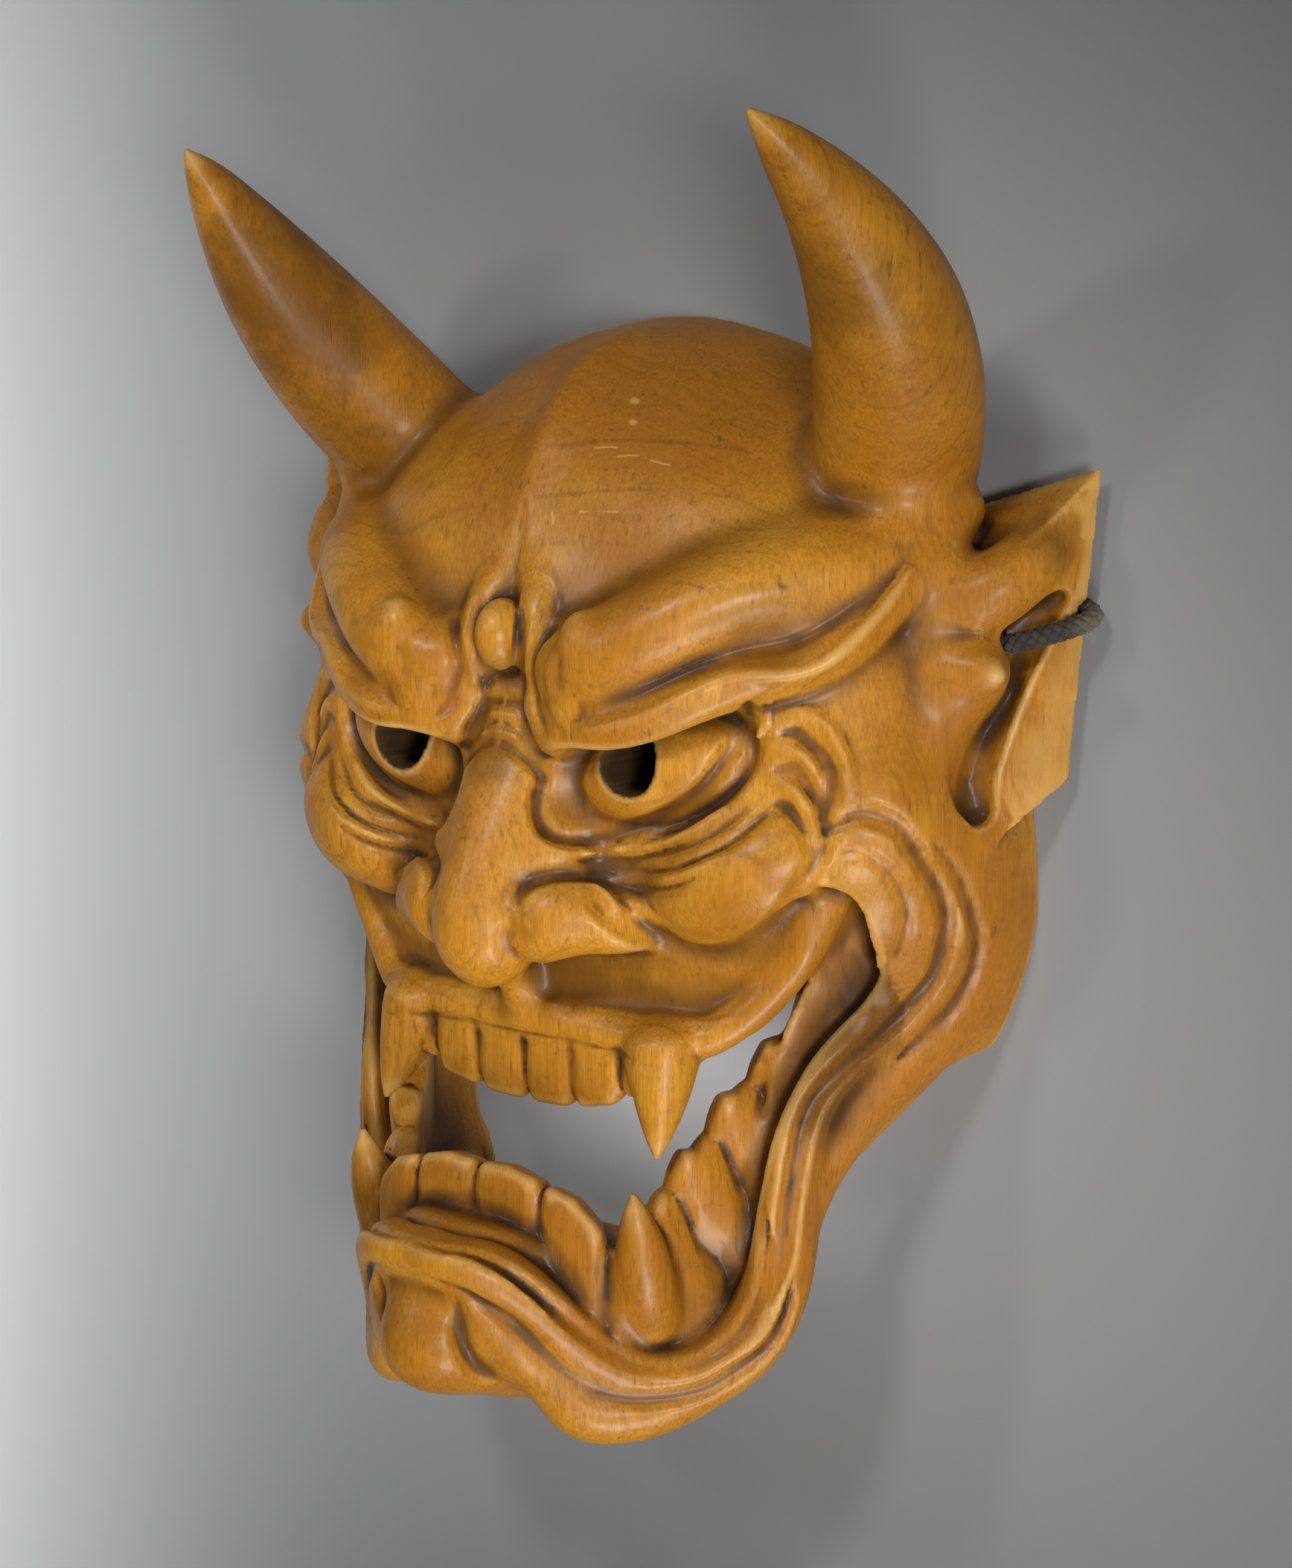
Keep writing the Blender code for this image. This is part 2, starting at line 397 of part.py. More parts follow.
def face(block):
    lay = block.on_front
    valleys = [
        ([(22.8, -14.4), (29.5, -12.5), (36.4, -10), (43, -6.8), (49.9, -1.8), (56.2, 4.2), (61.5, 11.5), (64.8, 16.5)], 2.3, 1.6),
        ([(20, -16.2), (26, -16.3), (33.1, -15.1), (43.3, -12), (51.9, -8.4), (57.6, -4), (62.6, 1.2)], 2.4, 1.9),
        ([(22, -18.3), (32.3, -18.2), (40, -16.8), (47, -14.6), (54.2, -11), (59.8, -7.4), (64.5, -2.5), (67, 0.5)], 2.6, 2.1),
        ([(24.6, -19.6), (29.3, -21.2), (38.3, -20.9), (46, -19), (53, -16)], 2.4, 1.7),
        ([(66, 15), (69.8, 15.3), (73.8, 11.7), (76.6, 6.9), (76.8, 1.1), (76.3, -3.7)], 2.6, 1.9),
        ([(65.1, 7.3), (69.8, 7.5), (73.1, 3.3), (75.9, -0.7), (77.1, -6.6)], 2.4, 1.7),
        ([(66.2, 0.7), (70.6, -1.9), (74.3, -6.4), (75, -10.6)], 2.4, 1.6),
        ([(26, -20.5), (32, -26), (36, -31), (41, -36.5)], 3.5, 1.8),
    ]
    ridges = [
        ([(64.5, 18), (70.1, 19.6), (74.6, 17.8), (77.8, 12.8), (80, 7.1), (80.5, 0)], 2.3, 1.0),
        ([(65.5, 11), (71, 11), (74.4, 6.8)], 2.2, 0.9),
        ([(66, 4), (70.5, 2.8), (73.2, -1.5)], 2.2, 0.9),
        ([(19, -13.8), (27, -13), (35.5, -9.9), (45, -5), (54.5, 3.3), (60, 10.8), (64, 18.6), (66, 24)], 1.9, 1.1),
        ([(20, -14.8), (31, -13.6), (41, -9.8), (50, -5), (58, 2)], 2.4, 0.8),
        ([(22, -19), (34, -19.4), (45, -17), (54, -13.2), (60, -9)], 2.4, 0.8),
    ]
    cut_lines = [(lay(path), width, depth) for path, width, depth in valleys] + [(lay(path), width, -depth) for path, width, depth in ridges]
    lid = lay([(14, 5.5), (12.2, 1), (12.4, -4), (14.5, -9), (19, -11.2), (25, -10.8), (31.7, -8.3), (40, -4.6), (47.4, 0.2), (53, 6), (57, 12.2),
               (60, 18.5), (62, 23)])
    cheek = lay([(27, -23), (33, -28), (38, -32.5), (43, -36), (51, -36.5), (59, -34), (67, -27), (73, -20), (76, -13), (78, -4)])
    # Eyes: a socket, the ball in it and the hole to look through
    block.egg((37, 5, 66), (27, 14, 9), k=4, op="cut", turn=axes(yaw=18, roll=20))
    block.egg((36, 6, 48), (27, 15.5, 21.5), k=1.5, turn=axes(yaw=12, roll=18))
    block.stroke(lid, 2.8, 3.4, sharp=1, taper=0.08)
    part, x, y, z = block.box((20, -10, 20), (50, 25, 90))
    block.cut(part, np.maximum(np.sqrt((x - 33.6) ** 2 + (y - 7.5) ** 2) - 7.6, z - 73).astype(np.float32), 0.5)
    for path, width, depth in cut_lines:
        block.stroke(path, width, depth, sharp=1 if depth > 0 else 2, taper=0.2)
    block.stroke(cheek, 4.0, 3.0, sharp=1, taper=0.2)
    # Nostrils and the hollow that runs on under the cheek
    block.rod([(9, -48.5, 74, 2.5), (18, -48, 70, 4.5), (30, -46, 68, 6), (43, -44.5, 65.5, 6.5), (54, -39.5, 61, 5.5), (63, -33, 57, 4.5), (70, -24, 54, 3)],
              k=3, op="cut")
    block.rod([(11, -45, 71, 3.5), (18, -44.5, 67, 4), (26, -43, 65, 3)], k=2, op="cut")
    block.rod([(0, -43, 71, 5), (0, -54, 63, 4.5)], k=2)
    block.rod([(0, -46, 62, 6), (0, -54, 60, 6)], k=2)
    block.stroke(lay([(14, -26.5), (13.4, -23), (14.6, -20.4), (18.5, -18.8), (23, -19), (28.7, -21), (32.7, -25), (36, -29.4), (38, -33)]), 2.7, 2.8,
                 sharp=1, taper=0.15)
    block.stroke(lay([(14, -27), (13.4, -31), (12, -35), (11.5, -39), (12, -42)]), 4.5, 1.5, sharp=1, taper=0.25)
    block.stroke([(12.3, -111, 103.4), (12, -121, 102), (13.5, -129.5, 98.2), (17, -138, 91)], 3.0, 2.4, sharp=1)
    block.stroke(lay([(0, -60), (15, -60), (27, -60.5), (40, -61)]), 1.6, 0.8, sharp=1, taper=0)
    # Bump and furrows over the root of the nose, and the folded inner end of the brow
    block.egg((0, 34.5, 71.3), (5.8, 8.5, 7.5), k=2.0)
    block.egg((22.5, 20.5, 74), (4.5, 5.5, 5), k=3)
    block.egg((27, 35, 76), (4.5, 6, 4.5), k=4)
    for points, width, depth in (
        ([(7.4, 43), (7.6, 36), (6.4, 30), (5.4, 24), (5.4, 18), (7.2, 12), (10.2, 8.5), (14, 6.3)], 3.0, 2.7),
        ([(15.5, 37.8), (12.8, 32.9), (10.9, 27.6), (11.6, 22.2), (13.2, 17.4), (17, 13.6)], 2.4, 1.5),
        ([(0, 26), (3, 25.4), (6, 22.6)], 2.2, 1.8), ([(0, 18.8), (4, 18), (7.5, 14.5), (11, 10)], 2.3, 2.0),
        ([(0, 14.4), (5, 13), (9, 8.8), (12, 5)], 1.9, 1.2), ([(0, 9.8), (5, 8.6), (9.5, 5), (12.3, 1)], 2.3, 2.0),
        ([(24, 31), (22, 27), (23, 24)], 2.8, 1.0),
    ):
        block.stroke(lay(points), width, depth, sharp=1, taper=0.12)
    block.stroke(lay([(36, 23.5), (42, 26.5), (49.2, 31.5), (53.7, 34.8), (58.3, 37), (62.5, 37.3), (66, 35.6), (70.8, 34.6)]), 9.5, 2.8, sharp=2)
    block.stroke(lay([(26, 15), (35.9, 16.6), (44, 19.2), (51, 23.4), (55.2, 26), (59.4, 28), (64.1, 28.6), (68.8, 28.4), (73.3, 29.5), (77.4, 32.4),
                      (83, 41), (87, 52)]), 2.4, -1.7, sharp=1, taper=0.1)
    block.stroke(lay([(0, 104), (0, 95), (0, 86), (0, 76), (0, 66), (0, 58)]), 10.0, -2.6, sharp=1, taper=0.3)
    block.stroke(lay([(0, 105), (0, 96), (0, 87), (0, 78), (0, 70)]), 5.0, -1.3, sharp=1, taper=0.4)
    block.stroke(lay([(0, 66), (0, 59), (0, 52), (0, 46)]), 2.2, 0.7, sharp=1, taper=0.4)
    # Creases between the rolls of the lip, and round the corner of the mouth
    block.stroke(lay([(76, -6), (80.5, -3), (84.8, -1.8), (90, -4.9), (91.6, -11.1), (93, -17.7), (94, -25.6), (93, -31), (89.2, -40.7), (82.9, -49.9),
                      (77, -57.7), (71.2, -65.7), (68, -73.6), (66.6, -89.5), (65.2, -103.5), (62.5, -116)]), 3.2, 3.3, sharp=1, taper=0.08)
    block.stroke(lay([(92.8, -8), (95, -15), (96.4, -22), (96.8, -29), (95, -38.6), (91, -48), (86, -55.5), (80, -62)]), 3.0, 2.3, sharp=1, taper=0.2)
    block.stroke(lay([(79, -10.8), (83, -9.8), (86.6, -13), (88.4, -19.5), (88.4, -26), (86, -33), (80, -42), (74, -51)]), 2.4, 0.9, sharp=1, taper=0.25)
    block.stroke([(0, -99.5, 105), (8, -100, 105), (14.5, -101, 101.5), (20.5, -105, 97), (27, -114, 89.5), (35, -123, 82), (42, -129, 75), (50, -129, 66.5),
                  (56, -125, 60), (60, -116, 55), (61.5, -105, 52.5), (61.5, -92, 52)], 2.4, 2.8, sharp=1)
    block.stroke([(5, -107, 107), (12, -108.5, 105), (16.5, -111.5, 101), (23.5, -119, 95), (29.5, -128, 90), (36, -135, 83.5), (43, -137.5, 75), (51, -136.5, 66),
                  (57, -132.5, 60), (62.5, -126, 53.5), (65, -117, 50), (65.5, -107, 49)], 2.8, 3.1, sharp=1)


def close_gaps(field):
    """Fills each place where the carving would touch itself only along an edge or at a corner."""
    whole = slice(None)
    for _ in range(40):
        inside = field < 0
        fill = np.zeros_like(inside)
        for a, b in ((0, 1), (0, 2), (1, 2)):
            part = []
            for i, j in ((0, 0), (1, 1), (1, 0), (0, 1)):
                cut = [whole, whole, whole]
                cut[a] = slice(1, None) if i else slice(None, -1)
                cut[b] = slice(1, None) if j else slice(None, -1)
                part.append(tuple(cut))
            p, q, r, t = [inside[s] for s in part]
            fill[part[2]] |= p & q & ~r & ~t
            fill[part[0]] |= r & t & ~p & ~q
        part = []
        for n in range(8):
            part.append(tuple(slice(1, None) if n >> (2 - i) & 1 else slice(None, -1) for i in range(3)))
        count = sum(inside[s].astype(np.int8) for s in part)
        for n in range(4):
            one, other = inside[part[n]], inside[part[7 - n]]
            fill[part[n ^ 1]] |= (count == 2) & one & other
            fill[part[n]] |= (count == 6) & ~one & ~other
        fill &= ~inside
        if not fill.any():
            break
        field[fill] = -0.05
    return field


def skin(block):
    """The surface of both halves as points and quads: one point to a cell the surface crosses."""
    field = close_gaps(np.concatenate([block.field[:0:-1], block.field]))
    low = np.array([-block.step * (block.count[0] - 1), block.low[1], block.low[2]])
    inside = field < 0
    size = np.array(field.shape) - 1
    count = np.zeros(size, np.int8)
    for n in range(8):
        count += inside[tuple(slice(1, None) if n >> i & 1 else slice(None, -1) for i in range(3))]
    cell = np.argwhere((count > 0) & (count < 8))
    number = np.full(size, -1, np.int32)
    number[tuple(cell.T)] = np.arange(len(cell))
    total = np.zeros((len(cell), 3))
    crossings = np.zeros(len(cell))
    for along in range(3):
        u, v = [i for i in range(3) if i != along]
        for n in range(4):
            start = np.zeros(3, int)
            start[u], start[v] = n & 1, n >> 1
            end = start.copy()
            end[along] = 1
            a, b = field[tuple((cell + start).T)], field[tuple((cell + end).T)]
            crosses = (a < 0) != (b < 0)
            share = np.where(crosses, a / np.where(crosses, a - b, 1), 0)
            point = start + (end - start) * share[:, None]
            total += np.where(crosses[:, None], point, 0)
            crossings += crosses
    points = low + block.step * (cell + total / crossings[:, None])
    quads = []
    for along in range(3):
        u, v = (along + 1) % 3, (along + 2) % 3
        near = tuple(slice(None, -1) if i == along else slice(1, -1) for i in range(3))
        far = tuple(slice(1, None) if i == along else slice(1, -1) for i in range(3))
        edge = np.argwhere(inside[near] != inside[far])
        edge[:, [u, v]] += 1
        out = inside[tuple(edge.T)]
        corners = []
        for i, j in ((1, 1), (0, 1), (0, 0), (1, 0)):
            at = edge.copy()
            at[:, u] -= i
            at[:, v] -= j
            corners.append(number[tuple(at.T)])
        quad = np.stack(corners, 1)
        quad[~out] = quad[~out][:, ::-1]
        quads.append(quad)
    quads = np.concatenate(quads)
    label = np.arange(len(points))
    while True:
        lowest = label[quads].min(1)
        before = label.copy()
        np.minimum.at(label, quads.ravel(), np.repeat(lowest, 4))
        label = label[label]
        if (label == before).all():
            break
    main = label == np.bincount(label).argmax()
    index = np.cumsum(main) - 1
    return points[main], index[quads[main[quads[:, 0]]]]

def wood_paint(name, colour, roughness):
    material = bpy.data.materials.new(name)
    material.use_nodes = True
    shader = material.node_tree.nodes["Principled BSDF"]
    shader.inputs["Base Color"].default_value = (*colour, 1)
    shader.inputs["Roughness"].default_value = roughness
    return material


def collection_of(name):
    found = bpy.data.collections.new(name)
    bpy.context.scene.collection.children.link(found)
    return found


hannya = collection_of("hannya_mask")

# Mask: one solid, thinned to the triangles the frame can take
points, quads = skin(carve(GRID_STEP))
points[np.abs(points[:, 2]) < 0.05, 2] = 0
points = (points + (0, MASK_SHIFT_Y, 0)) * MM
mesh = bpy.data.meshes.new("mask")
mesh.from_pydata(points.tolist(), [], quads.tolist())
mesh.materials.append(wood_paint("varnished_wood", (0.42, 0.2, 0.06), 0.38))
mask = bpy.data.objects.new("mask", mesh)
hannya.objects.link(mask)
thin = mask.modifiers.new("thin", "DECIMATE")
thin.ratio = MASK_TRIANGLES / (2 * len(quads))
thinned = bpy.data.meshes.new_from_object(mask.evaluated_get(bpy.context.evaluated_depsgraph_get()))
mask.modifiers.remove(thin)
mask.data = thinned
for vertex in thinned.vertices:
    if abs(vertex.co.z) < 0.4 * MM:
        vertex.co.z = 0

# Cord: one end under each ear, round the ear's back edge, through the hole and across the hollow
CORD_HALF = [
    (0, 22, 3.2), (30, 24.5, 3.2), (52, 28.5, 3.3), (63, 31, 4.6), (70, 31.8, 7.6), (77, 32.2, 10.6), (85, 32.7, 13),
    (94, 33.1, 15.2), (101, 33.7, 17.5), (106, 35, 16.8), (110.2, 36.4, 13.8), (113.4, 37.9, 9.2), (114.9, 39.2, 5.4),
    (113.4, 40.5, 3.1), (109.5, 41.8, 2.9), (105, 43, 2.9), (100.5, 44, 2.9),
]
half = smooth_path(CORD_HALF, 1.0)
run = np.concatenate([[0], np.cumsum(np.linalg.norm(np.diff(half, axis=0), axis=1))])
even = np.linspace(0, run[-1], CORD_POINTS)
half = np.column_stack([np.interp(even, run, half[:, i]) for i in range(3)])
path = np.vstack([half[:0:-1] * (-1, 1, 1), half])
path = (path + (0, MASK_SHIFT_Y, 0)) * MM
curve = bpy.data.curves.new("cord", "CURVE")
curve.dimensions = "3D"
spline = curve.splines.new("POLY")
spline.points.add(len(path) - 1)
spline.points.foreach_set("co", np.column_stack([path, np.ones(len(path))]).ravel())
curve.bevel_depth = CORD_RADIUS * MM
curve.bevel_resolution = 2
curve.use_fill_caps = True
curve.materials.append(wood_paint("grey_cord", (0.05, 0.045, 0.04), 0.8))
cord = bpy.data.objects.new("cord", curve)
hannya.objects.link(cord)
print("cord length, mm:", round(2 * run[-1], 1))
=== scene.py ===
import math

import bpy
import numpy as np
from mathutils import Matrix, Vector


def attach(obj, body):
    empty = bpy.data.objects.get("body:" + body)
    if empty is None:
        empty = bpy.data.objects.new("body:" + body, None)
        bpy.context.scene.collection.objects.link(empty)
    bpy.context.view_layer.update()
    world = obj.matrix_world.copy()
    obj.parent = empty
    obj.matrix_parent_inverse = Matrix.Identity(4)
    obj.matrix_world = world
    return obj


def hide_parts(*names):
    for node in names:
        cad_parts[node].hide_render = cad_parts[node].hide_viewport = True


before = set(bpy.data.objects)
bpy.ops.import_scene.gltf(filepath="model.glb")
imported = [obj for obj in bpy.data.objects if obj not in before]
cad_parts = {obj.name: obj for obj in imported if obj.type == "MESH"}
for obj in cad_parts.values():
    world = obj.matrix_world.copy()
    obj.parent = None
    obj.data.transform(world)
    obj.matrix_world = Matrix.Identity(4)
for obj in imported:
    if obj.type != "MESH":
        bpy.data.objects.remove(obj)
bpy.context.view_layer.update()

# Camera: it looks down on the mask as it lies, a little from its left side and from above the brow.
# The lens and the place were worked out from the photograph's perspective.
photo_camera = bpy.data.cameras.new("photo_camera")
photo_camera.sensor_width = 36
photo_camera.lens = 36 * 3400 / 2107
photo_camera.clip_start = 0.01
camera_stand = bpy.data.objects.new("photo_camera", photo_camera)
bpy.context.scene.collection.objects.link(camera_stand)
yaw, pitch = math.radians(36.61), math.radians(9.32)
camera_right = Vector((math.cos(yaw), 0, -math.sin(yaw)))
camera_up = Vector((-math.sin(pitch) * math.sin(yaw), math.cos(pitch), -math.sin(pitch) * math.cos(yaw)))
camera_back = camera_right.cross(camera_up)
camera_turn = Matrix((camera_right, camera_up, camera_back)).transposed().to_4x4()
camera_stand.matrix_world = Matrix.Translation((0.3675, 0.0970, 0.5107)) @ camera_turn
bpy.context.scene.camera = camera_stand
bpy.context.scene.view_settings.view_transform = "Standard"
MASK_SHIFT_Y = 3.5

# Cord: a plaited cotton cord that ties the mask on, five millimetres thick and worn dark grey.
# It runs round the rear edge of each ear, through the hole in its hollow and across the back of the
# mask; each end is tucked in between the ear and the side of the head.
CORD_STEPS = 77
cord_half_mm = [
    (0, 22, 3.2), (30, 24.5, 3.2), (52, 28.5, 3.3), (63, 31, 4.6), (70, 31.8, 7.6), (77, 32.2, 10.6),
    (85, 32.7, 13),
    (94, 33.1, 15.2), (101, 33.7, 17.5), (106, 35, 16.8), (110.2, 36.4, 13.8), (113.4, 37.9, 9.2),
    (114.9, 39.2, 5.4),
    (113.4, 40.5, 3.1), (109.5, 41.8, 2.9), (105, 43, 2.9), (100.5, 44, 2.9),
]


def smooth_path(points, step=2.0):
    """A Catmull-Rom curve through the points, sampled about every STEP millimetres."""
    p = np.asarray(points, float)
    if len(p) < 3:
        n = max(2, int(np.linalg.norm(p[-1, :3] - p[0, :3]) / step) + 1)
        t = np.linspace(0, 1, n)[:, None]
        return p[0] * (1 - t) + p[-1] * t
    q = np.vstack([2 * p[0] - p[1], p, 2 * p[-1] - p[-2]])
    runs = []
    for a, b, c, d in zip(q[:-3], q[1:-2], q[2:-1], q[3:]):
        n = max(2, int(np.ceil(np.linalg.norm(c[:3] - b[:3]) / step)))
        t = np.linspace(0, 1, n, endpoint=False)[:, None]
        bend = (2 * a - 5 * b + 4 * c - d) * t**2 + (3 * b - 3 * c + d - a) * t**3
        runs.append(0.5 * (2 * b + (c - a) * t + bend))
    runs.append(q[-2][None])
    return np.vstack(runs)


def even_steps(points, count):
    run = np.concatenate([[0], np.cumsum(np.linalg.norm(np.diff(points, axis=0), axis=1))])
    at = np.linspace(0, run[-1], count)
    return np.column_stack([np.interp(at, run, points[:, i]) for i in range(3)]), run[-1]


half_route, half_length = even_steps(smooth_path(cord_half_mm, 1.0), (CORD_STEPS + 1) // 2)
cord_route = np.vstack([half_route[:0:-1] * (-1, 1, 1), half_route])
cord_route = (cord_route + (0, MASK_SHIFT_Y, 0)) * 0.001

route = bpy.data.curves.new("cord_route", "CURVE")
route.dimensions = "3D"
spline = route.splines.new("POLY")
spline.points.add(len(cord_route) - 1)
spline.points.foreach_set("co", np.column_stack([cord_route, np.ones(len(cord_route))]).ravel())
route_holder = bpy.data.objects.new("cord_route", route)
bpy.context.scene.collection.objects.link(route_holder)


def cotton_cord():
    """Dark grey cotton: fine threads along each strand, worn paler where it bends round the rear edge of
    each ear, with painted shade on each strand where it dips under the others.
    """
    material = bpy.data.materials.new("dark_cotton_cord")
    material.use_nodes = True
    nodes, links = material.node_tree.nodes, material.node_tree.links
    shader = nodes["Principled BSDF"]
    shader.inputs["Roughness"].default_value = 0.85
    shader.inputs["Sheen Weight"].default_value = 0.06
    shader.inputs["Sheen Roughness"].default_value = 0.5
    shader.inputs["Sheen Tint"].default_value = (0.75, 0.68, 0.6, 1)
    around = nodes.new("ShaderNodeAttribute")
    around.attribute_name = "across_strand"
    along = nodes.new("ShaderNodeAttribute")
    along.attribute_name = "along_cord"
    place = nodes.new("ShaderNodeTexCoord")
    threads = nodes.new("ShaderNodeCombineXYZ")
    links.new(around.outputs["Fac"], threads.inputs["X"])
    links.new(along.outputs["Fac"], threads.inputs["Y"])
    fine = nodes.new("ShaderNodeTexNoise")
    fine.inputs["Scale"].default_value = 9
    fine.inputs["Detail"].default_value = 3
    links.new(threads.outputs["Vector"], fine.inputs["Vector"])
    patches = nodes.new("ShaderNodeTexNoise")
    patches.inputs["Scale"].default_value = 260
    patches.inputs["Detail"].default_value = 4
    links.new(place.outputs["Object"], patches.inputs["Vector"])
    tone = nodes.new("ShaderNodeValToRGB")
    tone.color_ramp.elements[0].position = 0.3
    tone.color_ramp.elements[0].color = (0.010, 0.008, 0.007, 1)
    tone.color_ramp.elements[1].position = 0.72
    tone.color_ramp.elements[1].color = (0.085, 0.066, 0.052, 1)
    blend_tones = nodes.new("ShaderNodeMix")
    blend_tones.inputs["Factor"].default_value = 0.5
    links.new(fine.outputs["Fac"], blend_tones.inputs["A"])
    links.new(patches.outputs["Fac"], blend_tones.inputs["B"])
    links.new(blend_tones.outputs["Result"], tone.inputs["Fac"])
    # Painted shade: each strand is darkened where it dips under the others.
    on_top = nodes.new("ShaderNodeAttribute")
    on_top.attribute_name = "on_top"
    depth = nodes.new("ShaderNodeMapRange")
    depth.inputs["From Min"].default_value = -0.8
    depth.inputs["From Max"].default_value = 0.9
    depth.inputs["To Min"].default_value = 0.85
    depth.inputs["To Max"].default_value = 0.0
    links.new(on_top.outputs["Fac"], depth.inputs["Value"])
    painted_groove_shade = nodes.new("ShaderNodeMix")
    painted_groove_shade.data_type = "RGBA"
    links.new(depth.outputs["Result"], painted_groove_shade.inputs[0])
    links.new(tone.outputs["Color"], painted_groove_shade.inputs[6])
    painted_groove_shade.inputs[7].default_value = (0.006, 0.005, 0.004, 1)
    apart = nodes.new("ShaderNodeSeparateXYZ")
    links.new(place.outputs["Object"], apart.inputs["Vector"])
    out_from_middle = nodes.new("ShaderNodeMath")
    out_from_middle.operation = "ABSOLUTE"
    links.new(apart.outputs["X"], out_from_middle.inputs[0])
    at_edge = nodes.new("ShaderNodeMapRange")
    at_edge.inputs["From Min"].default_value = 0.1125
    at_edge.inputs["From Max"].default_value = 0.1165
    at_edge.inputs["To Max"].default_value = 0.75
    links.new(out_from_middle.outputs[0], at_edge.inputs["Value"])
    worn = nodes.new("ShaderNodeMix")
    worn.data_type = "RGBA"
    links.new(at_edge.outputs["Result"], worn.inputs[0])
    links.new(painted_groove_shade.outputs[2], worn.inputs[6])
    worn.inputs[7].default_value = (0.17, 0.135, 0.085, 1)
    links.new(worn.outputs[2], shader.inputs["Base Color"])
    bump = nodes.new("ShaderNodeBump")
    bump.inputs["Strength"].default_value = 0.6
    bump.inputs["Distance"].default_value = 0.0002
    links.new(fine.outputs["Fac"], bump.inputs["Height"])
    links.new(bump.outputs["Normal"], shader.inputs["Normal"])
    return material


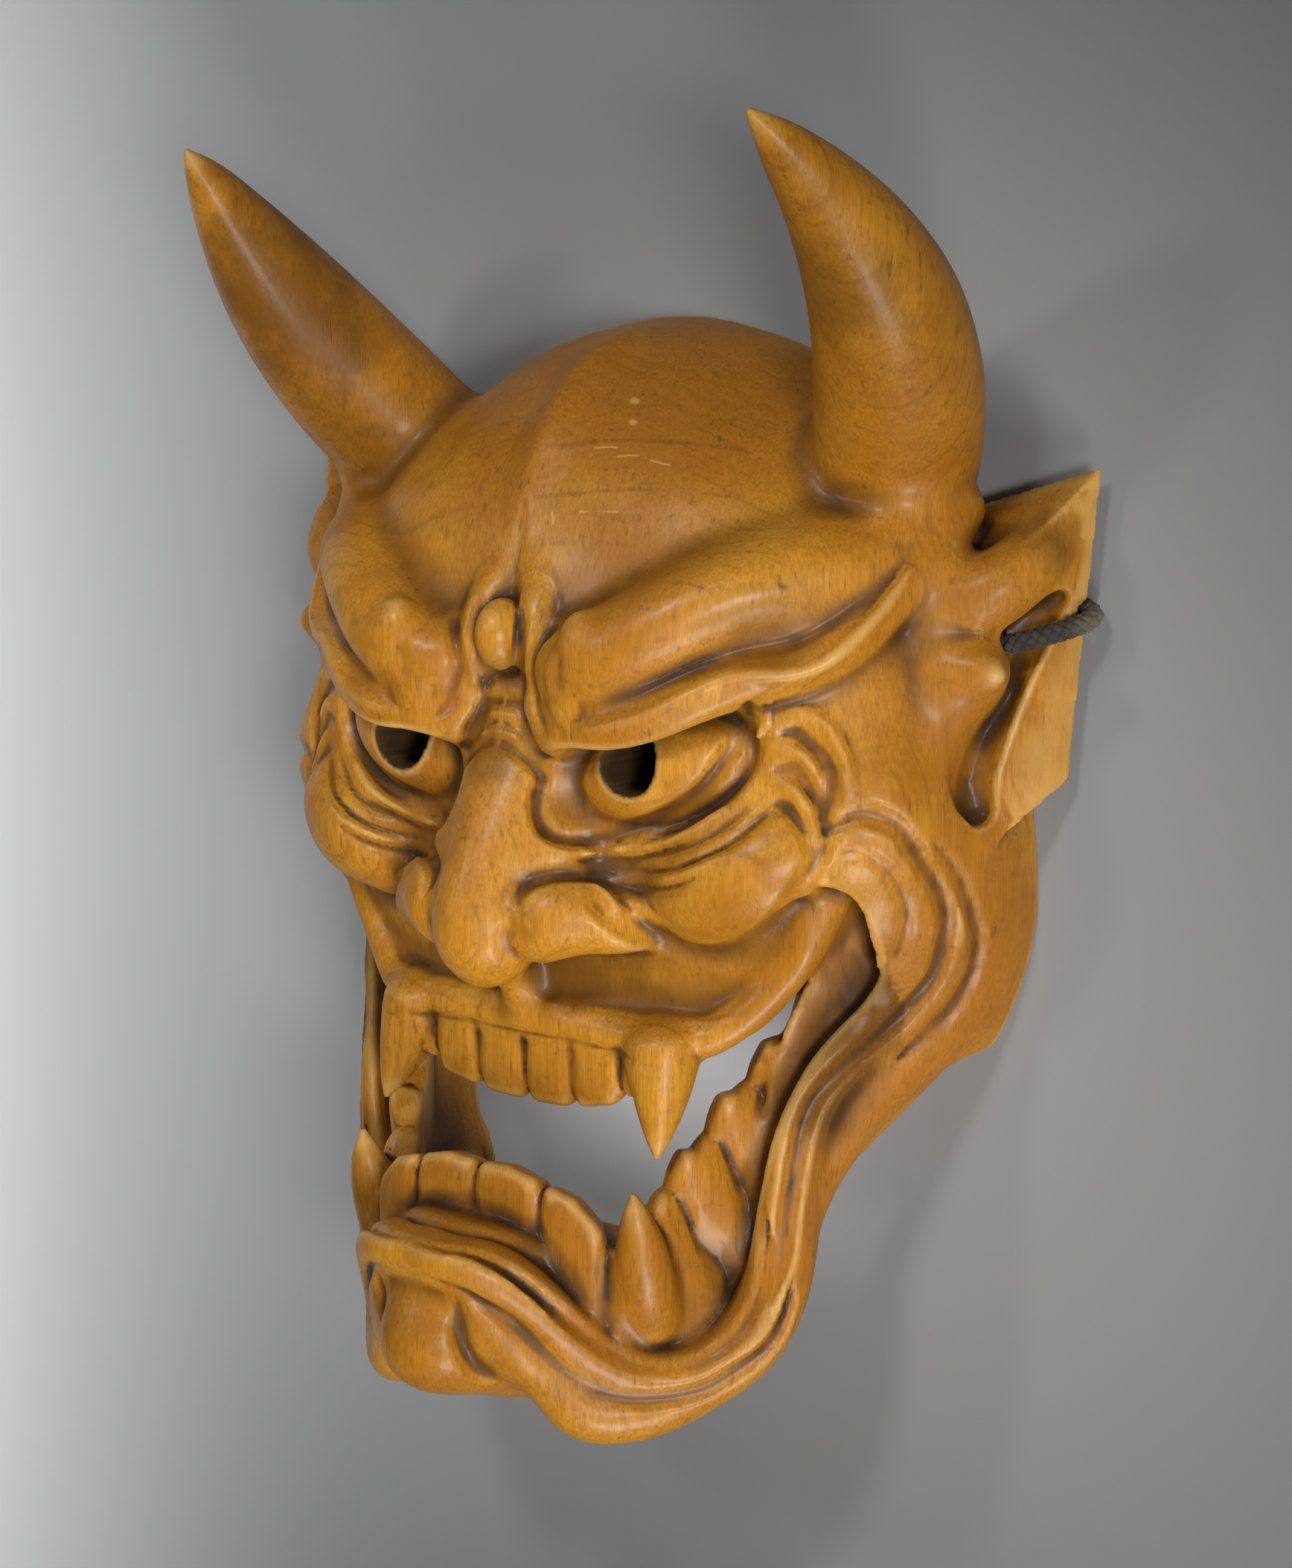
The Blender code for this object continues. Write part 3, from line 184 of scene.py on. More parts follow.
def plait_tree(material):
    """Strands that wind both ways round a core and pass over and under each other."""
    tree = bpy.data.node_groups.new("plaited_cord", "GeometryNodeTree")
    made = tree.interface.new_socket
    made("Route", in_out="INPUT", socket_type="NodeSocketGeometry")
    for name, kind, value in (
        ("Strands each way", "NodeSocketInt", 4), ("Lay length", "NodeSocketFloat", 0.0094),
        ("Strand centre", "NodeSocketFloat", 0.0015),
        ("Over and under", "NodeSocketFloat", 0.00036), ("Strand width", "NodeSocketFloat", 0.00092),
        ("Strand thickness", "NodeSocketFloat", 0.00062),
        ("Core radius", "NodeSocketFloat", 0.0012), ("Step", "NodeSocketFloat", 0.00055),
    ):
        made(name, in_out="INPUT", socket_type=kind).default_value = value
    made("Cord", in_out="OUTPUT", socket_type="NodeSocketGeometry")
    nodes, links = tree.nodes, tree.links
    given, out = nodes.new("NodeGroupInput"), nodes.new("NodeGroupOutput")

    def math_node(operation, a, b=None, c=None):
        node = nodes.new("ShaderNodeMath")
        node.operation = operation
        for socket, value in zip(node.inputs, (a, b, c)):
            if value is None:
                continue
            if isinstance(value, (int, float)):
                socket.default_value = value
            else:
                links.new(value, socket)
        return node.outputs[0]

    def vector_node(operation, a, b=None, scale=None):
        node = nodes.new("ShaderNodeVectorMath")
        node.operation = operation
        links.new(a, node.inputs[0])
        if b is not None:
            links.new(b, node.inputs[1])
        if scale is not None:
            links.new(scale, node.inputs["Scale"])
        return node.outputs[0]

    even = nodes.new("GeometryNodeResampleCurve")
    even.mode = "LENGTH"
    links.new(given.outputs["Route"], even.inputs["Curve"])
    links.new(given.outputs["Step"], even.inputs["Length"])
    strands = nodes.new("GeometryNodeDuplicateElements")
    strands.domain = "SPLINE"
    links.new(even.outputs["Curve"], strands.inputs["Geometry"])
    links.new(math_node("MULTIPLY", given.outputs["Strands each way"], 2), strands.inputs["Amount"])
    number = strands.outputs["Duplicate Index"]
    way = math_node("SUBTRACT", math_node("MULTIPLY", math_node("MODULO", number, 2), 2), 1)
    start = math_node("DIVIDE", math_node("FLOOR", math_node("DIVIDE", number, 2)),
                      given.outputs["Strands each way"])
    far = nodes.new("GeometryNodeSplineParameter").outputs["Length"]
    turns = math_node("DIVIDE", far, given.outputs["Lay length"])
    angle = math_node("MULTIPLY", math_node("ADD", math_node("MULTIPLY", turns, way), start), 2 * math.pi)
    beat = math_node("COSINE",
                     math_node("MULTIPLY", math_node("MULTIPLY", turns, given.outputs["Strands each way"]),
                               2 * math.pi))
    lift = math_node("MULTIPLY", math_node("MULTIPLY", beat, way), given.outputs["Over and under"])
    radius = math_node("ADD", given.outputs["Strand centre"], lift)
    normal = nodes.new("GeometryNodeInputNormal").outputs["Normal"]
    tangent = nodes.new("GeometryNodeInputTangent").outputs["Tangent"]
    side = vector_node("CROSS_PRODUCT", tangent, normal)
    outward = vector_node("ADD", vector_node("SCALE", normal, scale=math_node("COSINE", angle)),
                          vector_node("SCALE", side, scale=math_node("SINE", angle)))
    kept = nodes.new("GeometryNodeStoreNamedAttribute")
    kept.data_type = "FLOAT_VECTOR"
    kept.domain = "POINT"
    kept.inputs["Name"].default_value = "outward"
    links.new(strands.outputs["Geometry"], kept.inputs["Geometry"])
    links.new(outward, kept.inputs["Value"])
    far_kept = nodes.new("GeometryNodeStoreNamedAttribute")
    far_kept.data_type = "FLOAT"
    far_kept.domain = "POINT"
    far_kept.inputs["Name"].default_value = "along_cord"
    links.new(kept.outputs["Geometry"], far_kept.inputs["Geometry"])
    links.new(math_node("MULTIPLY", math_node("ADD", far, start), 300), far_kept.inputs["Value"])
    on_top = nodes.new("GeometryNodeStoreNamedAttribute")
    on_top.data_type = "FLOAT"
    on_top.domain = "POINT"
    on_top.inputs["Name"].default_value = "on_top"
    links.new(far_kept.outputs["Geometry"], on_top.inputs["Geometry"])
    links.new(math_node("MULTIPLY", beat, way), on_top.inputs["Value"])
    moved = nodes.new("GeometryNodeSetPosition")
    links.new(on_top.outputs["Geometry"], moved.inputs["Geometry"])
    links.new(vector_node("SCALE", outward, scale=radius), moved.inputs["Offset"])
    faced = nodes.new("GeometryNodeSetCurveNormal")
    faced.mode = "FREE"
    stored = nodes.new("GeometryNodeInputNamedAttribute")
    stored.data_type = "FLOAT_VECTOR"
    stored.inputs["Name"].default_value = "outward"
    links.new(moved.outputs["Geometry"], faced.inputs["Curve"])
    links.new(stored.outputs["Attribute"], faced.inputs["Normal"])
    section = nodes.new("GeometryNodeCurvePrimitiveCircle")
    section.inputs["Resolution"].default_value = 10
    section.inputs["Radius"].default_value = 1
    squeezed = nodes.new("GeometryNodeSetPosition")
    oval = nodes.new("ShaderNodeCombineXYZ")
    place = nodes.new("GeometryNodeInputPosition").outputs["Position"]
    links.new(given.outputs["Strand thickness"], oval.inputs["X"])
    links.new(given.outputs["Strand width"], oval.inputs["Y"])
    links.new(section.outputs["Curve"], squeezed.inputs["Geometry"])
    links.new(vector_node("MULTIPLY", place, oval.outputs["Vector"]), squeezed.inputs["Position"])
    across = nodes.new("GeometryNodeStoreNamedAttribute")
    across.data_type = "FLOAT"
    across.domain = "POINT"
    across.inputs["Name"].default_value = "across_strand"
    links.new(squeezed.outputs["Geometry"], across.inputs["Geometry"])
    links.new(nodes.new("GeometryNodeInputIndex").outputs["Index"], across.inputs["Value"])
    wound = nodes.new("GeometryNodeCurveToMesh")
    wound.inputs["Fill Caps"].default_value = True
    links.new(faced.outputs["Curve"], wound.inputs["Curve"])
    links.new(across.outputs["Geometry"], wound.inputs["Profile Curve"])
    core_section = nodes.new("GeometryNodeCurvePrimitiveCircle")
    core_section.inputs["Resolution"].default_value = 12
    links.new(given.outputs["Core radius"], core_section.inputs["Radius"])
    core = nodes.new("GeometryNodeCurveToMesh")
    core.inputs["Fill Caps"].default_value = True
    links.new(even.outputs["Curve"], core.inputs["Curve"])
    links.new(core_section.outputs["Curve"], core.inputs["Profile Curve"])
    both = nodes.new("GeometryNodeJoinGeometry")
    links.new(core.outputs["Mesh"], both.inputs["Geometry"])
    links.new(wound.outputs["Mesh"], both.inputs["Geometry"])
    plain = nodes.new("GeometryNodeRealizeInstances")
    links.new(both.outputs["Geometry"], plain.inputs["Geometry"])
    soft = nodes.new("GeometryNodeSetShadeSmooth")
    links.new(plain.outputs["Geometry"], soft.inputs["Geometry"])
    dressed = nodes.new("GeometryNodeSetMaterial")
    dressed.inputs["Material"].default_value = material
    links.new(soft.outputs["Geometry"], dressed.inputs["Geometry"])
    links.new(dressed.outputs["Geometry"], out.inputs["Cord"])
    return tree


cotton = cotton_cord()
plaiting = route_holder.modifiers.new("plaiting", "NODES")
plaiting.node_group = plait_tree(cotton)
braid = bpy.data.meshes.new_from_object(route_holder.evaluated_get(bpy.context.evaluated_depsgraph_get()))
bpy.data.objects.remove(route_holder, do_unlink=True)
plaited_cord = bpy.data.objects.new("plaited_cord", braid)
bpy.context.scene.collection.objects.link(plaited_cord)
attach(plaited_cord, "root")
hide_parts("cord")

# Mask: a hannya mask carved from one block of wood and varnished, hollow behind the face.
# The right half is cut as a distance field on a fine grid, form by form, and both halves are skinned.
CARVE_STEP = 0.8
MASK_TRIANGLES = 190000

# Plan sizes of the head, from the crown down, in millimetres:
# height, half width, depth in front of the rim, squareness of the outline
HEAD_ROWS = [
    (106.3, 3, 0.6, 2.0), (105, 14, 8, 1.9), (103.3, 21, 16, 1.8), (100.6, 31, 25, 1.75),
    (96.6, 41, 33, 1.75),
    (92, 48, 40, 1.75), (86, 57, 47, 1.75), (78, 66.5, 54, 1.9), (66, 77, 61, 2.15), (53, 85, 65, 2.3),
    (43, 90, 67, 2.4), (30, 94.5, 67.5, 2.5), (15, 97, 67, 2.7), (0, 98, 66, 2.9), (-15, 100, 65, 2.7),
    (-30, 100.5, 65, 2.4), (-45, 96.5, 63, 1.8), (-60, 90, 62, 2.0), (-72, 83, 62, 2.0), (-80, 78, 62, 2.0),
]
JAW_ROWS = [
    (-38, 97, 58, 2.1), (-50, 94.5, 60, 1.8), (-60, 90, 62, 1.95), (-70, 84, 68, 2.0), (-80, 76.5, 76, 1.9),
    (-90, 70, 86, 1.75), (-100, 66, 94, 1.6), (-110, 64, 97, 1.5), (-120, 61, 98, 1.5),
    (-130, 55, 95, 1.55),
    (-140, 45, 88, 1.7), (-147, 32, 76, 1.9), (-152, 16, 60, 2.0),
]
CROWN = 106.5
WALL = (10, 14)
JAW_WALL = (12, 22)
# Plan of the two rows of teeth: half width, then depth in front of the rim
LOWER_ROW = [(0, 84), (18, 83), (34, 79), (41, 70), (47, 60), (52, 52), (56.5, 46), (61.5, 41), (67, 36),
             (72, 31.5), (77, 27)]
UPPER_ROW = [(0, 65), (24, 65), (38, 63), (47, 57), (54, 50.5), (59, 45), (64, 40), (69, 35), (74, 28)]


def blend(a, b, k):
    """The union of two fields, with a fillet about K wide."""
    if k <= 0:
        return np.minimum(a, b)
    h = np.clip(0.5 + 0.5 * (b - a) / k, 0, 1)
    return b * (1 - h) + a * h - k * h * (1 - h)


def meet(a, b, k):
    """What two fields share, with a rounded edge about K wide."""
    return -blend(-a, -b, k)


def axes(yaw=0, pitch=0, roll=0):
    """Rows are the local axes of a shape turned about y, then x, then z, in degrees."""
    a, b, c = np.radians([yaw, pitch, roll])
    about_y = np.array([[np.cos(a), 0, np.sin(a)], [0, 1, 0], [-np.sin(a), 0, np.cos(a)]])
    about_x = np.array([[1, 0, 0], [0, np.cos(b), -np.sin(b)], [0, np.sin(b), np.cos(b)]])
    about_z = np.array([[np.cos(c), -np.sin(c), 0], [np.sin(c), np.cos(c), 0], [0, 0, 1]])
    return (about_y @ about_x @ about_z).T


def capsule(x, y, z, a, b):
    """Distance to a segment whose ends are (x, y, z, radius)."""
    ab = b[:3] - a[:3]
    length = float(ab @ ab)
    if length < 1e-9:
        return (np.sqrt((x - a[0]) ** 2 + (y - a[1]) ** 2 + (z - a[2]) ** 2) - max(a[3],
                                                                                   b[3])).astype(np.float32)
    t = np.clip(((x - a[0]) * ab[0] + (y - a[1]) * ab[1] + (z - a[2]) * ab[2]) / length, 0, 1)
    d = np.sqrt((x - a[0] - t * ab[0]) ** 2 + (y - a[1] - t * ab[1]) ** 2 + (z - a[2] - t * ab[2]) ** 2)
    return (d - (a[3] + t * (b[3] - a[3]))).astype(np.float32)


class Block:
    """The right half of a block of wood: how far each grid point lies outside the carving."""

    def __init__(self, low, high, step):
        self.step = step
        self.low = np.array(low, float)
        self.count = np.ceil((np.array(high, float) - self.low) / step).astype(int) + 1
        self.axis = [(self.low[i] + step * np.arange(self.count[i])).astype(np.float32) for i in range(3)]
        self.field = np.full(self.count, 1e3, np.float32)

    def box(self, low, high, within=None):
        """The part of the grid between two corners, and its coordinates."""
        first = [int(max(0, np.floor((low[i] - self.low[i]) / self.step))) for i in range(3)]
        last = [int(min(self.count[i], np.ceil((high[i] - self.low[i]) / self.step) + 1)) for i in range(3)]
        if within is not None:
            first = [max(x, w.start) for x, w in zip(first, within)]
            last = [min(x, w.stop) for x, w in zip(last, within)]
        part = tuple(slice(x, max(x, y)) for x, y in zip(first, last))
        x, y, z = np.meshgrid(*[self.axis[i][part[i]] for i in range(3)], indexing="ij", sparse=True)
        return part, x, y, z

    def add(self, part, d, k=0):
        self.field[part] = blend(self.field[part], d, k)

    def cut(self, part, d, k=0):
        self.field[part] = meet(self.field[part], -d, k)

    def egg(self, centre, radii, k=0, op="add", turn=None):
        c, r = np.array(centre, float), np.array(radii, float)
        reach = (r.max() if turn is not None else r) + k + 3 * self.step
        part, x, y, z = self.box(c - reach, c + reach)
        p = [x - c[0], y - c[1], z - c[2]]
        if turn is not None:
            p = [turn[i, 0] * p[0] + turn[i, 1] * p[1] + turn[i, 2] * p[2] for i in range(3)]
        near = np.sqrt(sum((p[i] / r[i]) ** 2 for i in range(3)))
        slope = np.sqrt(sum((p[i] / r[i] ** 2) ** 2 for i in range(3)))
        getattr(self, op)(part, (near * (near - 1) / np.maximum(slope, 1e-6)).astype(np.float32), k)

    def sweep(self, points, reach, radius):
        """Distance to a path, less its own radius when RADIUS is set, within REACH of it."""
        p = smooth_path(points, max(1.6, self.step * 1.6))
        size = p[:, 3] if radius else np.zeros(len(p))
        lo = (p[:, :3] - size[:, None]).min(0) - reach
        hi = (p[:, :3] + size[:, None]).max(0) + reach
        part = self.box(lo, hi)[0]
        found = np.full(tuple(s.stop - s.start for s in part), 1e3, np.float32)
        if found.size == 0:
            return part, found
        ends = np.column_stack([p[:, :3], size])
        for a, b in zip(ends[:-1], ends[1:]):
            r = max(a[3], b[3]) + reach
            inner, x, y, z = self.box(np.minimum(a[:3], b[:3]) - r, np.maximum(a[:3], b[:3]) + r, part)
            local = tuple(slice(i.start - s.start, i.stop - s.start) for i, s in zip(inner, part))
            found[local] = np.minimum(found[local], capsule(x, y, z, a, b))
        return part, found

    def rod(self, points, k=0, op="add"):
        """A round bar through points (x, y, z, radius)."""
        part, d = self.sweep(points, k + 3 * self.step, True)
        if d.size:
            getattr(self, op)(part, d, k)

    def stroke(self, points, width, depth, sharp=1.0, taper=0.25):
        """A gouge mark along a path, WIDTH to each side; a negative depth raises a ridge instead."""
        p = smooth_path(np.asarray(points, float)[:, :3], max(1.0, self.step))
        t = np.linspace(0, 1, len(p))
        fade = np.clip(np.minimum(t, 1 - t) / taper, 0, 1) ** 0.5 if taper > 0 else np.ones(len(p))
        part = self.box(p.min(0) - width - self.step, p.max(0) + width + self.step)[0]
        mark = np.zeros(tuple(s.stop - s.start for s in part), np.float32)
        if mark.size == 0:
            return
        for centre, strength in zip(p, fade):
            if strength <= 0:
                continue
            w = width * (0.4 + 0.6 * strength)
            inner, x, y, z = self.box(centre - w, centre + w, part)
            local = tuple(slice(i.start - s.start, i.stop - s.start) for i, s in zip(inner, part))
            d = ((x - centre[0]) ** 2 + (y - centre[1]) ** 2 + (z - centre[2]) ** 2) / w**2
            shape = np.clip(1 - np.sqrt(d), 0, 1) if sharp == 1 else np.clip(1 - d, 0, 1) ** sharp
            mark[local] = np.maximum(mark[local], (strength * shape).astype(np.float32))
        self.field[part] += depth * mark

    def on_front(self, points):
        """The path (x, y) laid on the front of the carving as it stands."""
        p = smooth_path([(a[0], a[1], 0) for a in points], 3.0)
        z = np.full(len(p), np.nan)
        for n, (x, y) in enumerate(p[:, :2]):
            i = int(np.clip(round((abs(x) - self.low[0]) / self.step), 0, self.count[0] - 1))
            j = int(np.clip(round((y - self.low[1]) / self.step), 0, self.count[1] - 1))
            column = self.field[i, j]
            inside = np.where(column <= 0)[0]
            if len(inside) and inside[-1] + 1 < self.count[2]:
                a = inside[-1]
                z[n] = self.axis[2][a] - self.step * column[a] / (column[a + 1] - column[a])
        known = ~np.isnan(z)
        z = np.interp(np.arange(len(z)), np.where(known)[0], z[known])
        z = np.convolve(np.pad(z, 2, mode="edge"), np.ones(5) / 5, "valid")
        return np.column_stack([p[:, 0], p[:, 1], z])


def loft(block, rows, inset=(0, 0)):
    """A field of half superellipses stacked from the crown down."""
    y = block.axis[1]
    depth_down = np.sqrt(np.maximum(CROWN - y, 1e-3))
    rows = np.asarray(rows, float)
    order = np.argsort(np.sqrt(np.maximum(CROWN - rows[:, 0], 1e-3)))
    known = np.sqrt(np.maximum(CROWN - rows[:, 0], 1e-3))[order]
    sizes = []
    for column, less in ((1, inset[0]), (2, inset[1]), (3, 0)):
        value = np.interp(depth_down, known, rows[order, column]) - less
        pad = 2 if block.step > 1.2 else 4
        even = np.convolve(np.pad(value, pad, mode="edge"), np.ones(2 * pad + 1) / (2 * pad + 1), "valid")
        sizes.append(np.where(y < 98, even, value)[None, :, None])
    width, depth, square = np.maximum(sizes[0], 0.5), np.maximum(sizes[1], 0.5), sizes[2]
    x = block.axis[0][:, None, None]
    z = np.maximum(block.axis[2], 0)[None, None, :]
    u = ((x / width) ** square + (z / depth) ** square + 1e-9) ** (1 / square)
    slope = np.gradient(u, block.step)
    steep = np.maximum(np.sqrt(slope[0] ** 2 + slope[1] ** 2 + slope[2] ** 2), 0.004)
    level = np.maximum(np.sqrt(slope[0] ** 2 + slope[2] ** 2), 0.004)
    f = (u - 1) / steep
    f = np.clip(np.where(u > 1, np.maximum(f, 0.4 * (u - 1) / level), f), -60, 60).astype(np.float32)
    over = y > CROWN - 0.4
    last = np.where(~over)[0][-1]
    f[:, over, :] = np.maximum(f[:, last : last + 1, :], 0) + np.maximum(y[over] - CROWN + 0.4,
                                                                         0.2)[None, :, None]
    under = y < rows[:, 0].min()
    f[:, under, :] = np.maximum(f[:, under, :], (2 + rows[:, 0].min() - y[under])[None, :, None])
    return f


def outline(block, points):
    """Signed distance in the front view to a smooth closed outline."""
    p = smooth_path([(a, b, 0) for a, b in points], 2.0)[:, :2]
    x, y = np.meshgrid(block.axis[0], block.axis[1], indexing="ij")
    d = np.full(x.shape, 1e9)
    inside = np.zeros(x.shape, bool)
    for a, b in zip(p, np.roll(p, -1, axis=0)):
        e = b - a
        if e @ e < 1e-9:
            continue
        t = np.clip(((x - a[0]) * e[0] + (y - a[1]) * e[1]) / (e @ e), 0, 1)
        d = np.minimum(d, (x - a[0] - t * e[0]) ** 2 + (y - a[1] - t * e[1]) ** 2)
        inside ^= ((a[1] > y) != (b[1] > y)) & (
            x < (b[0] - a[0]) * (y - a[1]) / (b[1] - a[1] + 1e-12) + a[0])
    d = np.sqrt(d)
    return np.where(inside, -d, d).astype(np.float32)[:, :, None]


def row_plan(block, points):
    """In plan: how far in front of a row of teeth, and how far along it."""
    p = smooth_path([(a, 0, b) for a, b in points], 1.0)[:, [0, 2]]
    x, z = np.meshgrid(block.axis[0], block.axis[2], indexing="ij")
    d = np.full(x.shape, 1e9)
    along = np.zeros(x.shape)
    sign = np.ones(x.shape)
    before = 0.0
    for a, b in zip(p[:-1], p[1:]):
        e = b - a
        length = np.sqrt(e @ e)
        t = np.clip(((x - a[0]) * e[0] + (z - a[1]) * e[1]) / length**2, 0, 1)
        away = np.sqrt((x - a[0] - t * e[0]) ** 2 + (z - a[1] - t * e[1]) ** 2)
        near = away < d
        d = np.where(near, away, d)
        along = np.where(near, before + t * length, along)
        sign = np.where(near, np.sign((z - a[1]) * e[0] - (x - a[0]) * e[1]), sign)
        before += length
    return (d * sign).astype(np.float32), along.astype(np.float32)


def tooth_wall(block, row, thick, free, root, joints, up, lean=0.0):
    """A wall behind a row line with a groove at each joint; it thins toward its free edge."""
    front, along = row_plan(block, row)
    edge = np.interp(along, [a for a, _ in free], [b for _, b in free])
    y = block.axis[1][None, :, None]
    side = np.clip((along - 40) / 8, 0, 1)[:, None, :]
    slanted = along[:, None, :] + side * lean * (y - edge[:, None, :])
    gap = np.full(slanted.shape, 1e3, np.float32)
    for joint in joints:
        gap = np.minimum(gap, np.abs(slanted - joint))
    groove = 1.4 * np.clip(1 - gap / 3.2, 0, 1) ** 1.3 + side * 0.9 * np.clip(1 - gap / 5.5, 0, 1) ** 1.5
    notch = 1.8 * np.clip(1 - gap / 2.6, 0, 1) ** 2 + side * 2.4 * np.clip(1 - gap / 5.5, 0, 1)
    over = (y - edge[:, None, :]) * up + notch + 0.25 * np.maximum(-front[:, None, :], 0)
    thin = np.clip((over + 7) / 7, 0, 1) ** 2 * 1.4
    wall = np.maximum(front[:, None, :] + groove + thin, -(front[:, None, :] + thick - thin * 0.5))
    wall = meet(wall, over * 0.9, 2.0)
    return np.maximum(wall, -(y - root) * up).astype(np.float32)


def carve(step):
    grid_low, grid_high = (0, -160, -2.5 * step), (124, 150, 124)
    block = Block(grid_low, grid_high, step)
    x = block.axis[0][:, None, None]
    y = block.axis[1][None, :, None]
    z = block.axis[2][None, None, :]

    # Rough form: the dome and cheeks, then the jaw that juts forward
    block.field = meet(loft(block, HEAD_ROWS), (-(y + 62) + 0 * x + 0 * z).astype(np.float32), 4)
    rear = np.interp(y, [-150, -130, -110, -100, -90, -77, -66, -40], [20, 41, 52, 56, 63, 77, 88, 200])
    lean = np.interp(y, [-150, -110, -90, -66], [1.0, 0.72, 0.66, 0.6])
    jaw = np.maximum(loft(block, JAW_ROWS), (x - (rear + (z - 18) * lean)) / np.sqrt(1 + lean**2))
    jaw = np.maximum(jaw, -(y + 131.5 + (z - 22) * 0.26) / 1.03)
    jaw = np.where(y < -36, jaw, np.maximum(jaw, y + 36))
    block.field = blend(block.field, jaw.astype(np.float32), 6)

    # Horns
    block.rod([(64, 62, 6, 16.5), (69, 70.5, 14, 18.2), (74.5, 80, 22.5, 18.9), (80.5, 92, 33, 18.4),
               (84.6, 105, 44.8, 16.4),
               (85.6, 117, 56.8, 13.2), (84.3, 127.5, 68.3, 9.4), (81.6, 136.5, 79.3, 5.4),
               (79.2, 143.2, 88.5, 1.0)], k=8)

    # Ears: a slab trimmed by five planes, a lobe and the hollow where the cord comes out
    part, ex, ey, ez = block.box((70, -20, -6), (124, 90, 60))
    slab = np.maximum(np.maximum(np.abs(ex - 95) - 29, np.abs(ey - 30) - 55), np.abs(ez - 20) - 30)
    for normal, point in (((0, 0, -1), (0, 0, 4.5)), ((0.812, -0.072, 0.58), (117.9, 70.4, 2)),
                          ((-0.203, 0.687, 0.697), (107.5, 61.5, 13.3)),
                          ((0, -0.71, -0.7), (108.8, 3.2, 4)), ((0.6, 0, 0.8), (97.8, 45.4, 24.2))):
        n = np.array(normal, float) / np.linalg.norm(normal)
        slab = np.maximum(slab, (ex - point[0]) * n[0] + (ey - point[1]) * n[1] + (ez - point[2]) * n[2])
    block.add(part, slab.astype(np.float32), 3)
    block.rod([(109.2, 43.6, 10.2, 2), (105.6, 38, 15, 5.2), (100.6, 30.4, 18.4, 7),
               (97.6, 21.5, 21.6, 7.5), (97, 12.8, 24.5, 7.5), (96.4, 4, 25.5, 6.5),
               (97, -3, 22.5, 4)], k=1.2, op="cut")
    block.rod([(95, 43.2, 22.5, 7.8), (99.5, 47, 19, 8.2), (104.5, 52.5, 14, 6.5)], k=2.5)

    # Brow: a heavy roll that runs up to the horn, with a rolled lower edge
    block.rod([(14, 28, 66, 8), (23, 27, 69, 10.5), (34, 32.5, 69.3, 11.2), (46, 39.5, 63.4, 11),
               (57, 45, 55, 10.5), (66, 49, 45, 10.5),
               (74, 52, 34, 10), (79, 61, 23, 10)], k=8)
    block.rod([(12, 18, 67, 7), (17, 14, 68, 8), (24, 13, 69.5, 8), (33, 15, 70.5, 7.8), (42, 18, 69, 7.2),
               (51, 22.5, 65.5, 6.2), (60, 26.5, 60, 5.2),
               (69, 29, 53.5, 4.5), (76.5, 34, 47, 4.2), (82, 42, 38, 4.2), (86, 52, 28, 5),
               (88, 63, 17, 5)], k=4)
    # Cheek
    block.egg((58, -16, 50.5), (25.5, 16.5, 17.5), k=5, turn=axes(yaw=28, roll=22))
    block.egg((80, -4, 38), (11, 16, 12), k=8)
    # Nose: bridge, broad flanks and wings
    block.rod([(0, 16, 62, 9), (0, 4, 65, 10), (0, -6, 69.5, 10.5), (0, -16, 74, 10.8),
               (0, -26, 77.5, 11.3), (0, -32.5, 78.3, 11.8), (0, -36, 77, 10.8)], k=6)
    block.rod([(5.5, 5, 60, 11), (7, -6, 62, 12.5), (9, -17, 65, 13), (12, -26, 64, 12.5)], k=6)
    block.rod([(7, -32, 75, 10), (15, -29, 73, 10.3), (22, -28.3, 69.5, 9.2), (29, -29.8, 65.5, 7.8),
               (33, -30.6, 62.5, 5.8)], k=2.5)
    # Lower lip and chin: rolls from the curl at the corner of the mouth to the peak under the teeth
    block.rod([(0, -103, 101, 6.5), (8, -103.5, 101, 6.5), (14.5, -106, 97, 7), (19.5, -111.3, 91.5, 7),
               (25.5, -121, 83.5, 7), (31.5, -129.3, 76, 7),
               (39, -134, 67.5, 7), (47, -134, 59.5, 7), (53.5, -130, 53, 7), (58, -122, 48.5, 7),
               (60, -112.5, 46.5, 7), (61, -102, 46.5, 7),
               (61.5, -92, 46, 7), (62.5, -80, 44, 7), (64.5, -70, 40.5, 7), (68.5, -61, 35, 7.3),
               (73.5, -52.5, 26, 7.3), (79, -44.5, 20.5, 7.3),
               (82.3, -36, 19.5, 7.4), (84, -28, 21, 7.5), (83.5, -19.5, 25, 7.6), (81, -12.5, 29, 7.5),
               (77, -8.5, 34.5, 6.8), (73, -9, 39.5, 6)], k=3)
    block.rod([(8, -107, 98, 3), (13, -113, 96.5, 5), (16.5, -122, 91.5, 6.5), (22.5, -132, 84, 7),
               (28.5, -141, 77.5, 8), (36.5, -142, 69.5, 8),
               (43.5, -139, 62, 7.8), (49.5, -133.5, 55.5, 7.8), (55, -126.5, 50.5, 7.8),
               (58.5, -117.5, 46.5, 7.4), (60, -108, 44, 7.3), (60.5, -99, 40.5, 7),
               (63, -89, 36, 7), (67.5, -79, 32, 7), (73.5, -69, 26, 7), (79.5, -58, 16, 8),
               (85, -46, 7, 9), (88, -34, 4, 9), (88.5, -22, 7, 9),
               (86, -13, 14, 8)], k=4)
    block.egg((0, -121.5, 90), (15, 17, 17), k=6)
    block.egg((0, -126, 94.5), (13.5, 12, 14.5), k=4)
